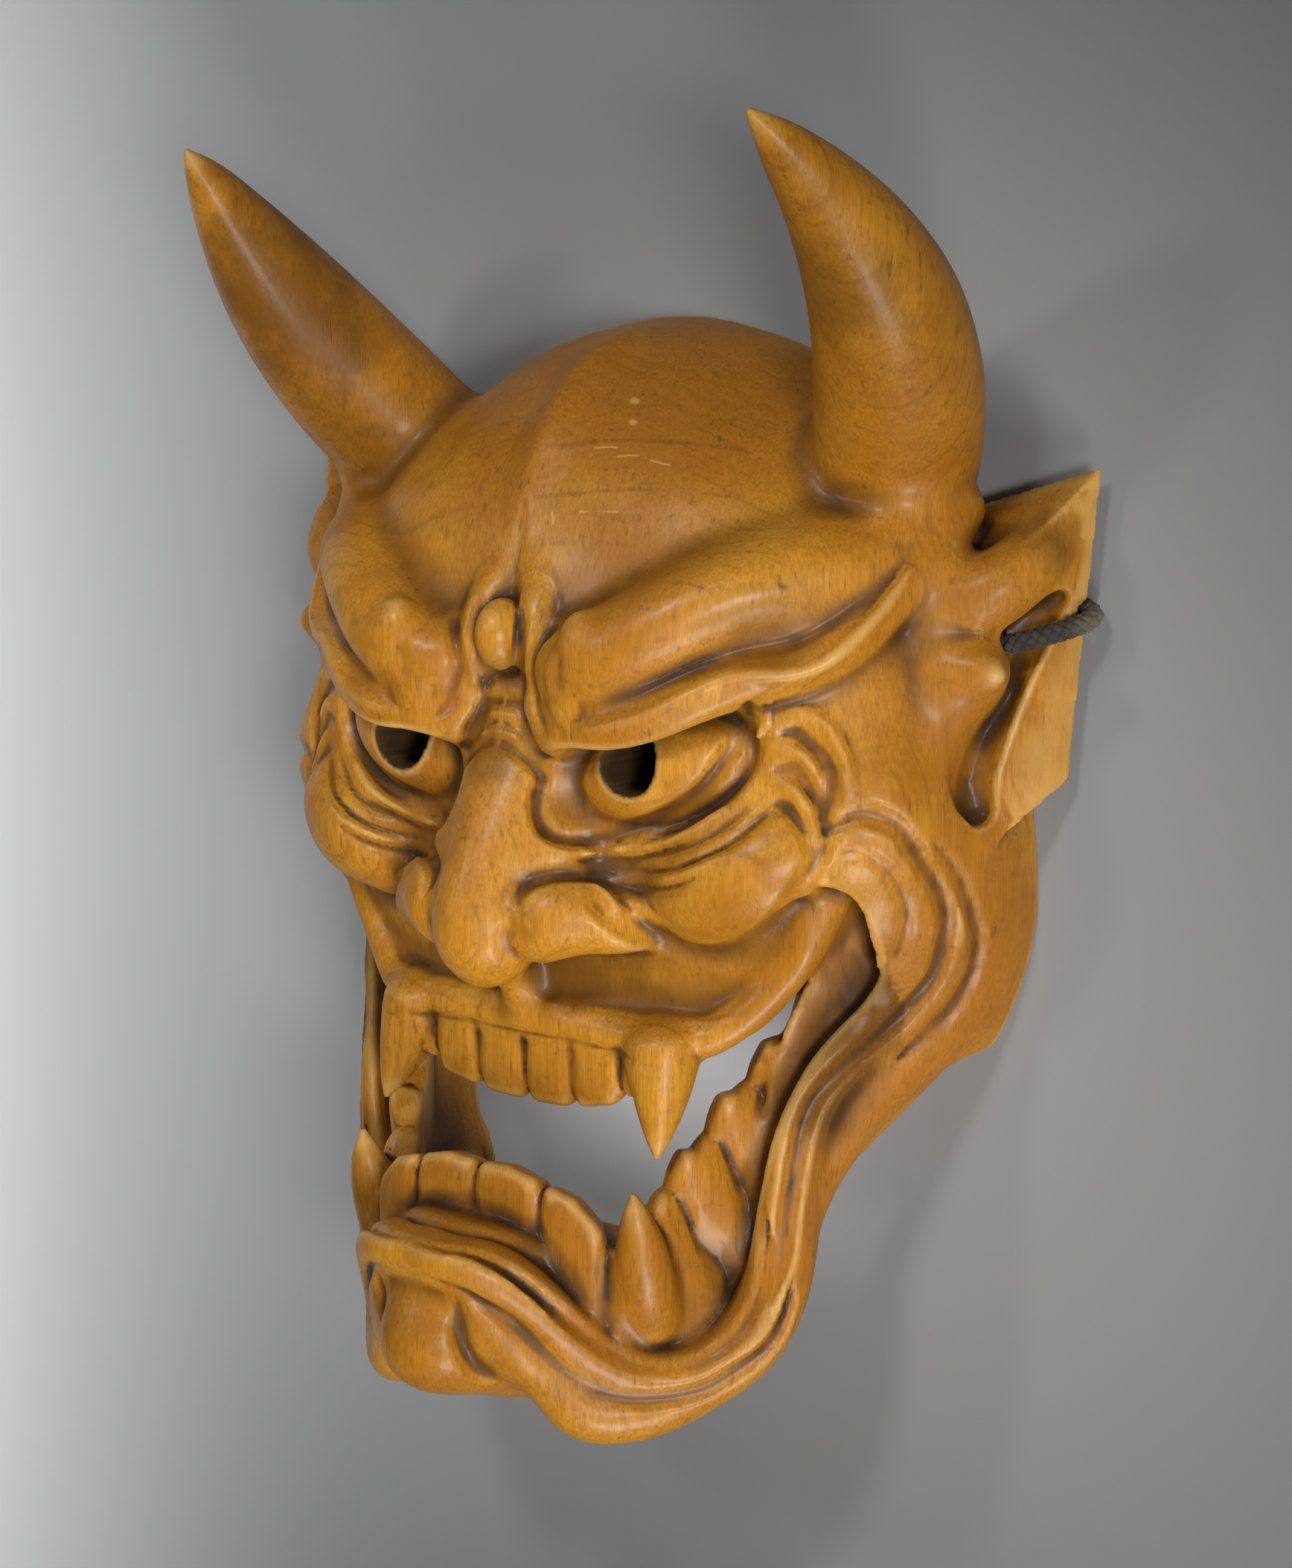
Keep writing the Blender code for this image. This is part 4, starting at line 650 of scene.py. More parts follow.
    block.egg((0, -131, 81), (20, 9, 15), k=6)

    # Mouth: a pocket in front of the lower row, and the gap right through between the rows
    mouth = outline(block,
                    [(-30, -60), (0, -60), (27, -60), (38, -60), (47, -59), (55, -53), (62, -45), (68, -35),
                     (72, -26), (75, -18),
                            (79, -20), (81, -26), (81, -33), (79, -41), (75, -48), (70, -55), (66, -62),
                            (63, -70), (60.5, -80), (59, -90),
                            (56.5, -102), (54, -111), (50, -118), (45, -122), (39, -121), (33, -116),
                            (27, -109), (20, -103), (12, -98.5),
                            (0, -97), (-30, -97)])
    through = outline(block,
                      [(-30, -60), (0, -60), (27, -60), (38, -60), (46, -58), (52, -53), (57, -47.5),
                       (61, -42.5), (62.8, -43), (61, -48.5),
                              (59, -54), (57.5, -62), (56, -70), (55, -80), (53, -90), (50, -100),
                              (44, -105), (30, -105), (15, -100), (0, -99), (-30, -99)])
    row = row_plan(block, LOWER_ROW)[0][:, None, :]
    lower_wall = tooth_wall(block, LOWER_ROW, 9,
                            [(0, -86.5), (9, -86), (18.8, -88.5), (27, -91), (35, -98), (39, -104),
                             (43, -101), (46, -97),
                            (50, -89), (55.5, -81), (59, -80), (65, -69), (69, -67), (75, -57), (79, -54),
                            (83, -45), (89.5, -35), (97, -25), (103, -19)],
                            -134, (0, 18.8, 36, 50.5, 60.5, 70, 79, 88, 96), 1, lean=0.35)
    floor = np.interp(x, [40, 60, 66, 72, 78, 84], [60, 40, 33, 27, 24, 24])
    pocket = meet(meet(mouth + 0 * z, -row + 0 * y, 2.0), (floor - z) + 0 * y, 5)

    # Hollow behind the face, kept clear of the pocket
    inner = np.maximum(loft(block, HEAD_ROWS, WALL), -(y + 70))
    inner_jaw = np.maximum(loft(block, JAW_ROWS, JAW_WALL),
                           (x - (rear - 9.5 + (z - 18) * lean * 0.5)) / 1.1)
    inner_jaw = np.maximum(inner_jaw, -(y + 122 + (z - 22) * 0.1))
    inner_jaw = np.where(y < -40, inner_jaw, np.maximum(inner_jaw, y + 40))
    hollow = blend(meet(inner, y - 96.5 + 0 * x + 0 * z, 8), inner_jaw, 6).astype(np.float32)
    hollow = meet(hollow, 8.5 - pocket, 3)
    eye_wood = np.maximum(np.sqrt((x - 33.6) ** 2 + (y - 7.5) ** 2) - 14, 37 - z)
    hollow = meet(hollow, -eye_wood, 4).astype(np.float32)
    hollow = meet(hollow, np.where(y < -80, 9 + row, -50).astype(np.float32), 2)
    block.field = meet(block.field, -hollow, 3)
    block.field = meet(block.field, -pocket, 1.5)
    block.field = meet(block.field, -(through + 0 * z), 2.0)
    lower_wall = np.maximum(lower_wall, (x - (rear + (z - 18) * lean - 5)) / 1.2)
    lower_wall = np.maximum(lower_wall, (20 - z) + 0 * y + 0 * x)
    block.field = blend(block.field, lower_wall.astype(np.float32), 1.5)
    block.rod([(38.5, -121, 66, 6.6), (39.5, -113, 69.3, 7), (40.5, -104, 72.2, 6), (41, -96, 74.6, 3.8),
               (41, -89.1, 76, 0.8)], k=2)

    # Upper lip and teeth
    block.rod([(0, -56.5, 61.5, 4.5), (15, -56.5, 61.5, 4.5), (27, -56.5, 61, 4.5), (38, -57, 59, 4.5),
               (47, -56, 55, 4.2), (55, -50, 51, 4),
               (62, -42, 48, 3.8), (68, -33, 45.5, 3.6), (72, -24, 43.5, 3.5), (75.5, -16, 41, 3.5)], k=5)
    upper_wall = tooth_wall(block, UPPER_ROW, 8.5,
                            [(0, -78), (13, -77.5), (25, -75), (31, -72), (38, -66), (44, -64), (50, -62),
                             (54, -57), (58, -52),
                            (62, -46), (66, -42), (72, -34)], -52, (0, 14, 28, 44, 53, 61), -1)
    block.field = blend(block.field, upper_wall, 1.5)
    block.rod([(37, -60, 59.5, 9), (38.5, -68, 62, 6.8), (40, -76, 65, 3.8), (41.1, -82, 67.2, 0.9)], k=1.5)
    # Spike at the temple
    block.rod([(88, 27, 20, 12), (97, 28, 25, 7), (104.6, 28, 28.4, 0.8)], k=5)
    block.rod([(88, 26, 23, 11), (86.5, 17, 25, 9.6), (85, 7, 27, 8.2), (84, -3, 28, 7)], k=4)
    block.rod([(84, 36, 27, 6.5), (87.5, 42, 26.5, 6.5), (89.5, 48, 24, 6)], k=5)
    face(block)
    block.field = meet(block.field, -hollow, 2)

    # Way for the cord: from the hollow through the side, out in the hollow of the ear and round the ear's
    # rear edge
    block.rod([(64, 31.2, 5.2, 3.4), (70, 31.8, 7.6, 3.4), (77, 32.2, 10.6, 3.4), (85, 32.7, 13, 3.4),
               (94, 33.1, 15.2, 3.5), (101, 33.7, 17.5, 3.6),
               (106, 35, 16.8, 3.3), (110.2, 36.4, 13.8, 3.2), (113.4, 37.9, 9.2, 3.2),
               (114.9, 39.2, 5.4, 3.2), (113.4, 40.5, 3.1, 3.2),
               (109.5, 41.8, 2.9, 3.2), (105, 43, 2.9, 3.2), (98.5, 44.4, 2.9, 3.2)], k=0.4, op="cut")

    # Flat rear rim, raised under the chin
    rim = np.interp(y, [-160, -110, -95, -84, -72, -66], [22, 22, 20, 12, 3, 0])
    block.field = np.maximum(block.field, (rim - z + 0 * x).astype(np.float32))
    return block


def face(block):
    lay = block.on_front
    valleys = [
        ([(22.8, -14.4), (29.5, -12.5), (36.4, -10), (43, -6.8), (49.9, -1.8), (56.2, 4.2), (61.5, 11.5),
          (64.8, 16.5)], 2.3, 1.6),
        ([(20, -16.2), (26, -16.3), (33.1, -15.1), (43.3, -12), (51.9, -8.4), (57.6, -4), (62.6, 1.2)], 2.4,
         1.9),
        ([(22, -18.3), (32.3, -18.2), (40, -16.8), (47, -14.6), (54.2, -11), (59.8, -7.4), (64.5, -2.5),
          (67, 0.5)], 2.6, 2.1),
        ([(24.6, -19.6), (29.3, -21.2), (38.3, -20.9), (46, -19), (53, -16)], 2.4, 1.7),
        ([(66, 15), (69.8, 15.3), (73.8, 11.7), (76.6, 6.9), (76.8, 1.1), (76.3, -3.7)], 2.6, 1.9),
        ([(65.1, 7.3), (69.8, 7.5), (73.1, 3.3), (75.9, -0.7), (77.1, -6.6)], 2.4, 1.7),
        ([(66.2, 0.7), (70.6, -1.9), (74.3, -6.4), (75, -10.6)], 2.4, 1.6),
        ([(26, -20.5), (32, -26), (36, -31), (41, -36.5)], 3.5, 1.8),
    ]
    ridges = [
        ([(64.5, 18), (70.1, 19.6), (74.6, 17.8), (77.8, 12.8), (80, 7.1), (80.5, 0)], 2.3, 1.0),
        ([(65.5, 11), (71, 11), (74.4, 6.8)], 2.2, 0.9),
        ([(66, 4), (70.5, 2.8), (73.2, -1.5)], 2.2, 0.9),
        ([(19, -13.8), (27, -13), (35.5, -9.9), (45, -5), (54.5, 3.3), (60, 10.8), (64, 18.6), (66, 24)],
         1.9, 1.1),
        ([(20, -14.8), (31, -13.6), (41, -9.8), (50, -5), (58, 2)], 2.4, 0.8),
        ([(22, -19), (34, -19.4), (45, -17), (54, -13.2), (60, -9)], 2.4, 0.8),
    ]
    cut_lines = [(lay(path), width, depth) for path, width,
                 depth in valleys] + [(lay(path), width, -depth) for path, width, depth in ridges]
    lid = lay([(14, 5.5), (12.2, 1), (12.4, -4), (14.5, -9), (19, -11.2), (25, -10.8), (31.7, -8.3),
               (40, -4.6), (47.4, 0.2), (53, 6), (57, 12.2),
               (60, 18.5), (62, 23)])
    cheek = lay([(27, -23), (33, -28), (38, -32.5), (43, -36), (51, -36.5), (59, -34), (67, -27), (73, -20),
                 (76, -13), (78, -4)])
    # Eyes: a socket, the ball in it and the hole to look through
    block.egg((37, 5, 66), (27, 14, 9), k=4, op="cut", turn=axes(yaw=18, roll=20))
    block.egg((36, 6, 48), (27, 15.5, 21.5), k=1.5, turn=axes(yaw=12, roll=18))
    block.stroke(lid, 2.8, 3.4, sharp=1, taper=0.08)
    part, x, y, z = block.box((20, -10, 20), (50, 25, 90))
    block.cut(part, np.maximum(np.sqrt((x - 33.6) ** 2 + (y - 7.5) ** 2) - 7.6, z - 73).astype(np.float32),
              0.5)
    for path, width, depth in cut_lines:
        block.stroke(path, width, depth, sharp=1 if depth > 0 else 2, taper=0.2)
    block.stroke(cheek, 4.0, 3.0, sharp=1, taper=0.2)
    # Nostrils and the hollow that runs on under the cheek
    block.rod([(9, -48.5, 74, 2.5), (18, -48, 70, 4.5), (30, -46, 68, 6), (43, -44.5, 65.5, 6.5),
               (54, -39.5, 61, 5.5), (63, -33, 57, 4.5), (70, -24, 54, 3)],
              k=6, op="cut")
    block.rod([(11, -45, 71, 3.5), (18, -44.5, 67, 4), (26, -43, 65, 3)], k=2, op="cut")
    block.rod([(0, -43, 70, 4), (0, -54, 62, 4)], k=5)
    block.rod([(0, -46, 61, 5), (0, -54, 59, 5)], k=5)
    block.stroke(lay([(14, -26.5), (13.4, -23), (14.6, -20.4), (18.5, -18.8), (23, -19), (28.7, -21),
                      (32.7, -25), (36, -29.4), (38, -33)]), 2.7, 2.8,
                 sharp=1, taper=0.15)
    block.stroke(lay([(14, -27), (13.4, -31), (12, -35), (11.5, -39), (12, -42)]), 4.5, 1.5, sharp=1,
                 taper=0.25)
    block.stroke([(12.3, -111, 103.4), (12, -121, 102), (13.5, -129.5, 98.2), (17, -138, 91)], 3.0, 2.4,
                 sharp=1)
    block.stroke(lay([(0, -60), (15, -60), (27, -60.5), (40, -61)]), 1.6, 0.8, sharp=1, taper=0)
    # Bump and furrows over the root of the nose, and the folded inner end of the brow
    block.rod([(5.5, 47, 61.5, 4.5), (7.4, 41, 66, 4.8), (7.6, 34, 68.2, 4.8), (7, 27, 67.2, 4.2)], k=3)
    block.egg((0, 34, 70.4), (5.9, 8.3, 7.3), k=1.2)
    block.egg((22.5, 20.5, 74), (4.5, 5.5, 5), k=3)
    block.egg((27, 35, 76), (4.5, 6, 4.5), k=4)
    for points, width, depth in (
        ([(6.2, 42), (7, 36), (6.2, 30), (5.4, 24), (5.4, 18), (7.2, 12), (10.2, 8.5), (14, 6.3)], 2.3,
         2.0),
        ([(15.5, 37.8), (12.8, 32.9), (10.9, 27.6), (11.6, 22.2), (13.2, 17.4), (17, 13.6)], 2.4, 1.5),
        ([(0, 26), (3, 25.4), (6, 22.6)], 2.2, 1.8),
        ([(0, 18.8), (4, 18), (7.5, 14.5), (11, 10)], 2.3, 2.0),
        ([(0, 14.4), (5, 13), (9, 8.8), (12, 5)], 1.9, 1.2),
        ([(0, 9.8), (5, 8.6), (9.5, 5), (12.3, 1)], 2.3, 2.0),
        ([(24, 31), (22, 27), (23, 24)], 2.8, 1.0),
    ):
        block.stroke(lay(points), width, depth, sharp=1, taper=0.12)
    block.stroke(lay([(36, 23.5), (42, 26.5), (49.2, 31.5), (53.7, 34.8), (58.3, 37), (62.5, 37.3),
                      (66, 35.6), (70.8, 34.6)]), 10, 0.7, sharp=2)
    block.stroke(lay([(26, 15), (35.9, 16.6), (44, 19.2), (51, 23.4), (55.2, 26), (59.4, 28), (64.1, 28.6),
                      (68.8, 28.4), (73.3, 29.5), (77.4, 32.4),
                      (83, 41), (87, 52)]), 2.4, -1.7, sharp=1, taper=0.1)
    block.stroke(lay([(0, 104), (0, 95), (0, 86), (0, 76), (0, 66), (0, 58)]), 10.0, -2.6, sharp=1,
                 taper=0.3)
    block.stroke(lay([(0, 105), (0, 96), (0, 87), (0, 78), (0, 70)]), 5.0, -1.3, sharp=1, taper=0.4)
    block.stroke(lay([(0, 66), (0, 59), (0, 52), (0, 46)]), 2.2, 0.7, sharp=1, taper=0.4)
    # Creases between the rolls of the lip, and round the corner of the mouth
    block.stroke(lay([(76, -6), (80.5, -3), (84.8, -1.8), (90, -4.9), (91.6, -11.1), (93, -17.7),
                      (94, -25.6), (93, -31), (89.2, -40.7), (82.9, -49.9),
                      (77, -57.7), (71.2, -65.7), (68, -73.6), (66.6, -89.5), (65.2, -103.5),
                      (62.5, -116)]), 3.2, 3.3, sharp=1, taper=0.08)
    block.stroke(lay([(92.8, -8), (95, -15), (96.4, -22), (96.8, -29), (95, -38.6), (91, -48), (86, -55.5),
                      (80, -62)]), 3.0, 2.3, sharp=1, taper=0.2)
    block.stroke(lay([(79, -10.8), (83, -9.8), (86.6, -13), (88.4, -19.5), (88.4, -26), (86, -33),
                      (80, -42), (74, -51)]), 2.4, 0.9, sharp=1, taper=0.25)
    block.stroke([(0, -99.5, 105), (8, -100, 105), (14.5, -101, 101.5), (20.5, -105, 97), (27, -114, 89.5),
                  (35, -123, 82), (42, -129, 75), (50, -129, 66.5),
                  (56, -125, 60), (60, -116, 55), (61.5, -105, 52.5), (61.5, -92, 52)], 2.4, 2.8, sharp=1)
    block.stroke([(5, -107, 107), (12, -108.5, 105), (16.5, -111.5, 101), (23.5, -119, 95),
                  (29.5, -128, 90), (36, -135, 83.5), (43, -137.5, 75), (51, -136.5, 66),
                  (57, -132.5, 60), (62.5, -126, 53.5), (65, -117, 50), (65.5, -107, 49)], 2.8, 3.1,
                  sharp=1)


FILL_ROUNDS = 40
JUST_INSIDE = -0.05


def close_gaps(field):
    """Fills each place where the carving would touch itself only along an edge or at a corner."""
    whole = slice(None)
    for _ in range(FILL_ROUNDS):
        inside = field < 0
        fill = np.zeros_like(inside)
        for a, b in ((0, 1), (0, 2), (1, 2)):
            part = []
            for i, j in ((0, 0), (1, 1), (1, 0), (0, 1)):
                cut = [whole, whole, whole]
                cut[a] = slice(1, None) if i else slice(None, -1)
                cut[b] = slice(1, None) if j else slice(None, -1)
                part.append(tuple(cut))
            p, q, r, t = [inside[s] for s in part]
            fill[part[2]] |= p & q & ~r & ~t
            fill[part[0]] |= r & t & ~p & ~q
        part = []
        for n in range(8):
            part.append(tuple(slice(1, None) if n >> (2 - i) & 1 else slice(None, -1) for i in range(3)))
        count = sum(inside[s].astype(np.int8) for s in part)
        for n in range(4):
            one, other = inside[part[n]], inside[part[7 - n]]
            fill[part[n ^ 1]] |= (count == 2) & one & other
            fill[part[n]] |= (count == 6) & ~one & ~other
        fill &= ~inside
        if not fill.any():
            break
        field[fill] = JUST_INSIDE
    return field


def skin(block):
    """The surface of both halves as points and quads: one point to a cell the surface crosses."""
    field = close_gaps(np.concatenate([block.field[:0:-1], block.field]))
    low = np.array([-block.step * (block.count[0] - 1), block.low[1], block.low[2]])
    inside = field < 0
    size = np.array(field.shape) - 1
    count = np.zeros(size, np.int8)
    for n in range(8):
        count += inside[tuple(slice(1, None) if n >> i & 1 else slice(None, -1) for i in range(3))]
    cell = np.argwhere((count > 0) & (count < 8))
    number = np.full(size, -1, np.int32)
    number[tuple(cell.T)] = np.arange(len(cell))
    total = np.zeros((len(cell), 3))
    crossings = np.zeros(len(cell))
    for along in range(3):
        u, v = [i for i in range(3) if i != along]
        for n in range(4):
            start = np.zeros(3, int)
            start[u], start[v] = n & 1, n >> 1
            end = start.copy()
            end[along] = 1
            a, b = field[tuple((cell + start).T)], field[tuple((cell + end).T)]
            crosses = (a < 0) != (b < 0)
            share = np.where(crosses, a / np.where(crosses, a - b, 1), 0)
            point = start + (end - start) * share[:, None]
            total += np.where(crosses[:, None], point, 0)
            crossings += crosses
    points = low + block.step * (cell + total / crossings[:, None])
    quads = []
    for along in range(3):
        u, v = (along + 1) % 3, (along + 2) % 3
        near = tuple(slice(None, -1) if i == along else slice(1, -1) for i in range(3))
        far = tuple(slice(1, None) if i == along else slice(1, -1) for i in range(3))
        edge = np.argwhere(inside[near] != inside[far])
        edge[:, [u, v]] += 1
        out = inside[tuple(edge.T)]
        corners = []
        for i, j in ((1, 1), (0, 1), (0, 0), (1, 0)):
            at = edge.copy()
            at[:, u] -= i
            at[:, v] -= j
            corners.append(number[tuple(at.T)])
        quad = np.stack(corners, 1)
        quad[~out] = quad[~out][:, ::-1]
        quads.append(quad)
    quads = np.concatenate(quads)
    label = np.arange(len(points))
    while True:
        lowest = label[quads].min(1)
        before = label.copy()
        np.minimum.at(label, quads.ravel(), np.repeat(lowest, 4))
        label = label[label]
        if (label == before).all():
            break
    main = label == np.bincount(label).argmax()
    index = np.cumsum(main) - 1
    return points[main], index[quads[main[quads[:, 0]]]]

def blurred(solid, reach):
    """The share of wood within REACH cells each way, by running sums."""
    for along in range(3):
        wide = [(reach + 1, reach) if i == along else (0, 0) for i in range(3)]
        total = np.cumsum(np.pad(solid, wide, mode="edge"), axis=along, dtype=np.float64)
        ahead = [slice(None)] * 3
        behind = [slice(None)] * 3
        ahead[along] = slice(2 * reach + 1, None)
        behind[along] = slice(None, -(2 * reach + 1))
        solid = ((total[tuple(ahead)] - total[tuple(behind)]) / (2 * reach + 1)).astype(np.float32)
    return solid


def read_grid(block, grid, points):
    """The grid's value at each point, in model millimetres, between its nearest cells."""
    at = np.column_stack([np.abs(points[:, 0]), points[:, 1], points[:, 2]])
    cell = (at - block.low) / block.step
    first = np.clip(np.floor(cell).astype(int), 0, np.array(grid.shape) - 2)
    share = np.clip(cell - first, 0, 1)
    value = np.zeros(len(points))
    for n in range(8):
        corner = first + [n >> i & 1 for i in range(3)]
        weight = np.prod([share[:, i] if n >> i & 1 else 1 - share[:, i] for i in range(3)], axis=0)
        value += weight * grid[tuple(corner.T)]
    return value


def object_place(nodes):
    return nodes.new("ShaderNodeTexCoord").outputs["Object"]


def number_group(name, inputs, outputs):
    """An empty shader node group with these sockets, and its two ends."""
    tree = bpy.data.node_groups.new(name, "ShaderNodeTree")
    for label, kind, value in inputs:
        socket = tree.interface.new_socket(label, in_out="INPUT", socket_type=kind)
        if value is not None:
            socket.default_value = value
    for label, kind in outputs:
        tree.interface.new_socket(label, in_out="OUTPUT", socket_type=kind)
    return tree, tree.nodes.new("NodeGroupInput"), tree.nodes.new("NodeGroupOutput")


def joined(tree, kind, operation, *values):
    """A math or vector math node with its inputs set or linked in order."""
    node = tree.nodes.new(kind)
    node.operation = operation
    for socket, value in zip([s for s in node.inputs if s.name != "Scale" or operation == "SCALE"], values):
        if value is None:
            continue
        if hasattr(value, "is_output"):
            tree.links.new(value, socket)
        else:
            socket.default_value = value
    if kind == "ShaderNodeMath" or operation in ("LENGTH", "DOT_PRODUCT"):
        return node.outputs["Value"]
    return node.outputs["Vector"]


def noise(tree, place, scale, detail=3.0, rough=0.5, stretch=None):
    if stretch is not None:
        mapping = tree.nodes.new("ShaderNodeMapping")
        mapping.inputs["Scale"].default_value = stretch
        tree.links.new(place, mapping.inputs["Vector"])
        place = mapping.outputs["Vector"]
    node = tree.nodes.new("ShaderNodeTexNoise")
    node.inputs["Scale"].default_value = scale
    node.inputs["Detail"].default_value = detail
    node.inputs["Roughness"].default_value = rough
    tree.links.new(place, node.inputs["Vector"])
    return node.outputs["Fac"]


def ramp(tree, value, *stops):
    node = tree.nodes.new("ShaderNodeMapRange")
    node.interpolation_type = "SMOOTHSTEP"
    for socket, number in zip(("From Min", "From Max", "To Min", "To Max"), stops):
        node.inputs[socket].default_value = number
    tree.links.new(value, node.inputs["Value"])
    return node.outputs["Result"]


def mixed(tree, share, a, b, kind="MIX"):
    node = tree.nodes.new("ShaderNodeMix")
    node.data_type = "RGBA"
    node.blend_type = kind
    for socket, value in ((node.inputs[0], share), (node.inputs[6], a), (node.inputs[7], b)):
        if hasattr(value, "is_output"):
            tree.links.new(value, socket)
        else:
            socket.default_value = value
    return node.outputs[2]


def growth_rings():
    """Rings of the trunk, cut by the carving: thin dark lines, and paler wood between them."""
    tree, given, out = number_group(
        "growth_rings",
        [("Place", "NodeSocketVector", None), ("Ring width", "NodeSocketFloat", 0.0042),
         ("Heart behind", "NodeSocketFloat", 0.16),
         ("Wander", "NodeSocketFloat", 0.006)],
        [("Line", "NodeSocketFloat"), ("Band", "NodeSocketFloat")],
    )
    place = given.outputs["Place"]
    apart = tree.nodes.new("ShaderNodeSeparateXYZ")
    tree.links.new(place, apart.inputs["Vector"])
    sway = joined(tree, "ShaderNodeMath", "SUBTRACT", noise(tree, place, 14, 3.0, 0.5, (1, 0.35, 1)), 0.5)
    depth = joined(tree, "ShaderNodeMath", "ADD", apart.outputs["Z"], given.outputs["Heart behind"])
    square = joined(tree, "ShaderNodeMath", "ADD",
                    joined(tree, "ShaderNodeMath", "MULTIPLY", apart.outputs["X"], apart.outputs["X"]),
                    joined(tree, "ShaderNodeMath", "MULTIPLY", depth, depth))
    reach = joined(tree, "ShaderNodeMath", "SQRT", square)
    reach = joined(tree, "ShaderNodeMath", "ADD", reach,
                   joined(tree, "ShaderNodeMath", "MULTIPLY", sway, given.outputs["Wander"]))
    turn = joined(tree, "ShaderNodeMath", "FRACT",
                  joined(tree, "ShaderNodeMath", "DIVIDE", reach, given.outputs["Ring width"]))
    line = ramp(tree, turn, 0.72, 0.97, 0.0, 1.0)
    end = ramp(tree, turn, 0.97, 1.0, 1.0, 0.0)
    broken = ramp(tree, noise(tree, place, 38, 3.0, 0.6, (1, 1, 1)), 0.42, 0.66, 0.0, 1.0)
    line = joined(tree, "ShaderNodeMath", "MULTIPLY", joined(tree, "ShaderNodeMath", "MULTIPLY", line, end),
                  broken)
    tree.links.new(line, out.inputs["Line"])
    tree.links.new(turn, out.inputs["Band"])
    return tree


def wood_fibre():
    """Short fibres and open pores that run up and down the block."""
    tree, given, out = number_group(
        "wood_fibre",
        [("Place", "NodeSocketVector", None)],
        [("Fibre", "NodeSocketFloat"), ("Pore", "NodeSocketFloat"), ("Cloud", "NodeSocketFloat")],
    )
    place = given.outputs["Place"]
    fibre = noise(tree, place, 1.0, 4.0, 0.65, (1500, 60, 1500))
    flecks = noise(tree, place, 1.0, 2.0, 0.5, (750, 90, 750))
    pore = ramp(tree, flecks, 0.63, 0.74, 0.0, 1.0)
    cloud = noise(tree, place, 24, 5.0, 0.55, (1, 0.5, 1))
    tree.links.new(fibre, out.inputs["Fibre"])
    tree.links.new(pore, out.inputs["Pore"])
    tree.links.new(cloud, out.inputs["Cloud"])
    return tree


def scratch_mark():
    """One short mark on the wood: 1 along a line from START to END, within WIDTH of it."""
    tree, given, out = number_group(
        "scratch_mark",
        [("Place", "NodeSocketVector", None), ("Start", "NodeSocketVector", (0, 0, 0)),
         ("End", "NodeSocketVector", (0.01, 0, 0)),
         ("Width", "NodeSocketFloat", 0.0004)],
        [("Mark", "NodeSocketFloat")],
    )
    vector = "ShaderNodeVectorMath"
    wobble = tree.nodes.new("ShaderNodeTexNoise")
    wobble.inputs["Scale"].default_value = 350
    tree.links.new(given.outputs["Place"], wobble.inputs["Vector"])
    shaken = joined(tree, vector, "MULTIPLY",
                    joined(tree, vector, "SUBTRACT", wobble.outputs["Color"], (0.5, 0.5, 0.5)),
                    (0.0007, 0.0007, 0.0007))
    there = joined(tree, vector, "ADD", given.outputs["Place"], shaken)
    along = joined(tree, vector, "SUBTRACT", given.outputs["End"], given.outputs["Start"])
    away = joined(tree, vector, "SUBTRACT", there, given.outputs["Start"])
    share = joined(tree, "ShaderNodeMath", "DIVIDE", joined(tree, vector, "DOT_PRODUCT", away, along),
                   joined(tree, vector, "DOT_PRODUCT", along, along))
    clamp = tree.nodes.new("ShaderNodeClamp")
    tree.links.new(share, clamp.inputs["Value"])
    back = tree.nodes.new("ShaderNodeVectorMath")
    back.operation = "SCALE"
    tree.links.new(along, back.inputs[0])
    tree.links.new(clamp.outputs["Result"], back.inputs["Scale"])
    gap = joined(tree, vector, "LENGTH", joined(tree, vector, "SUBTRACT", away, back.outputs["Vector"]))
    near = joined(tree, "ShaderNodeMath", "DIVIDE", gap, given.outputs["Width"])
    tree.links.new(ramp(tree, near, 0.35, 1.0, 1.0, 0.0), out.inputs["Mark"])
    return tree


def smoke_and_shade_patch():
    """A broad darker cloud on the wood: 1 near CENTRE, fading unevenly within REACH."""
    tree, given, out = number_group(
        "smoke_and_shade_patch",
        [("Place", "NodeSocketVector", None), ("Centre", "NodeSocketVector", (0, 0, 0)),
         ("Reach", "NodeSocketFloat", 0.02)],
        [("Mark", "NodeSocketFloat")],
    )
    away = joined(tree, "ShaderNodeVectorMath", "SUBTRACT", given.outputs["Place"], given.outputs["Centre"])
    near = joined(tree, "ShaderNodeMath", "DIVIDE", joined(tree, "ShaderNodeVectorMath", "LENGTH", away),
                  given.outputs["Reach"])
    ragged = joined(tree, "ShaderNodeMath", "MULTIPLY",
                    joined(tree, "ShaderNodeMath", "SUBTRACT",
                           noise(tree, given.outputs["Place"], 70, 5.0, 0.62), 0.5), 1.5)
    tree.links.new(ramp(tree, joined(tree, "ShaderNodeMath", "ADD", near, ragged), 0.25, 1.05, 1.0, 0.0),
                   out.inputs["Mark"])
    return tree


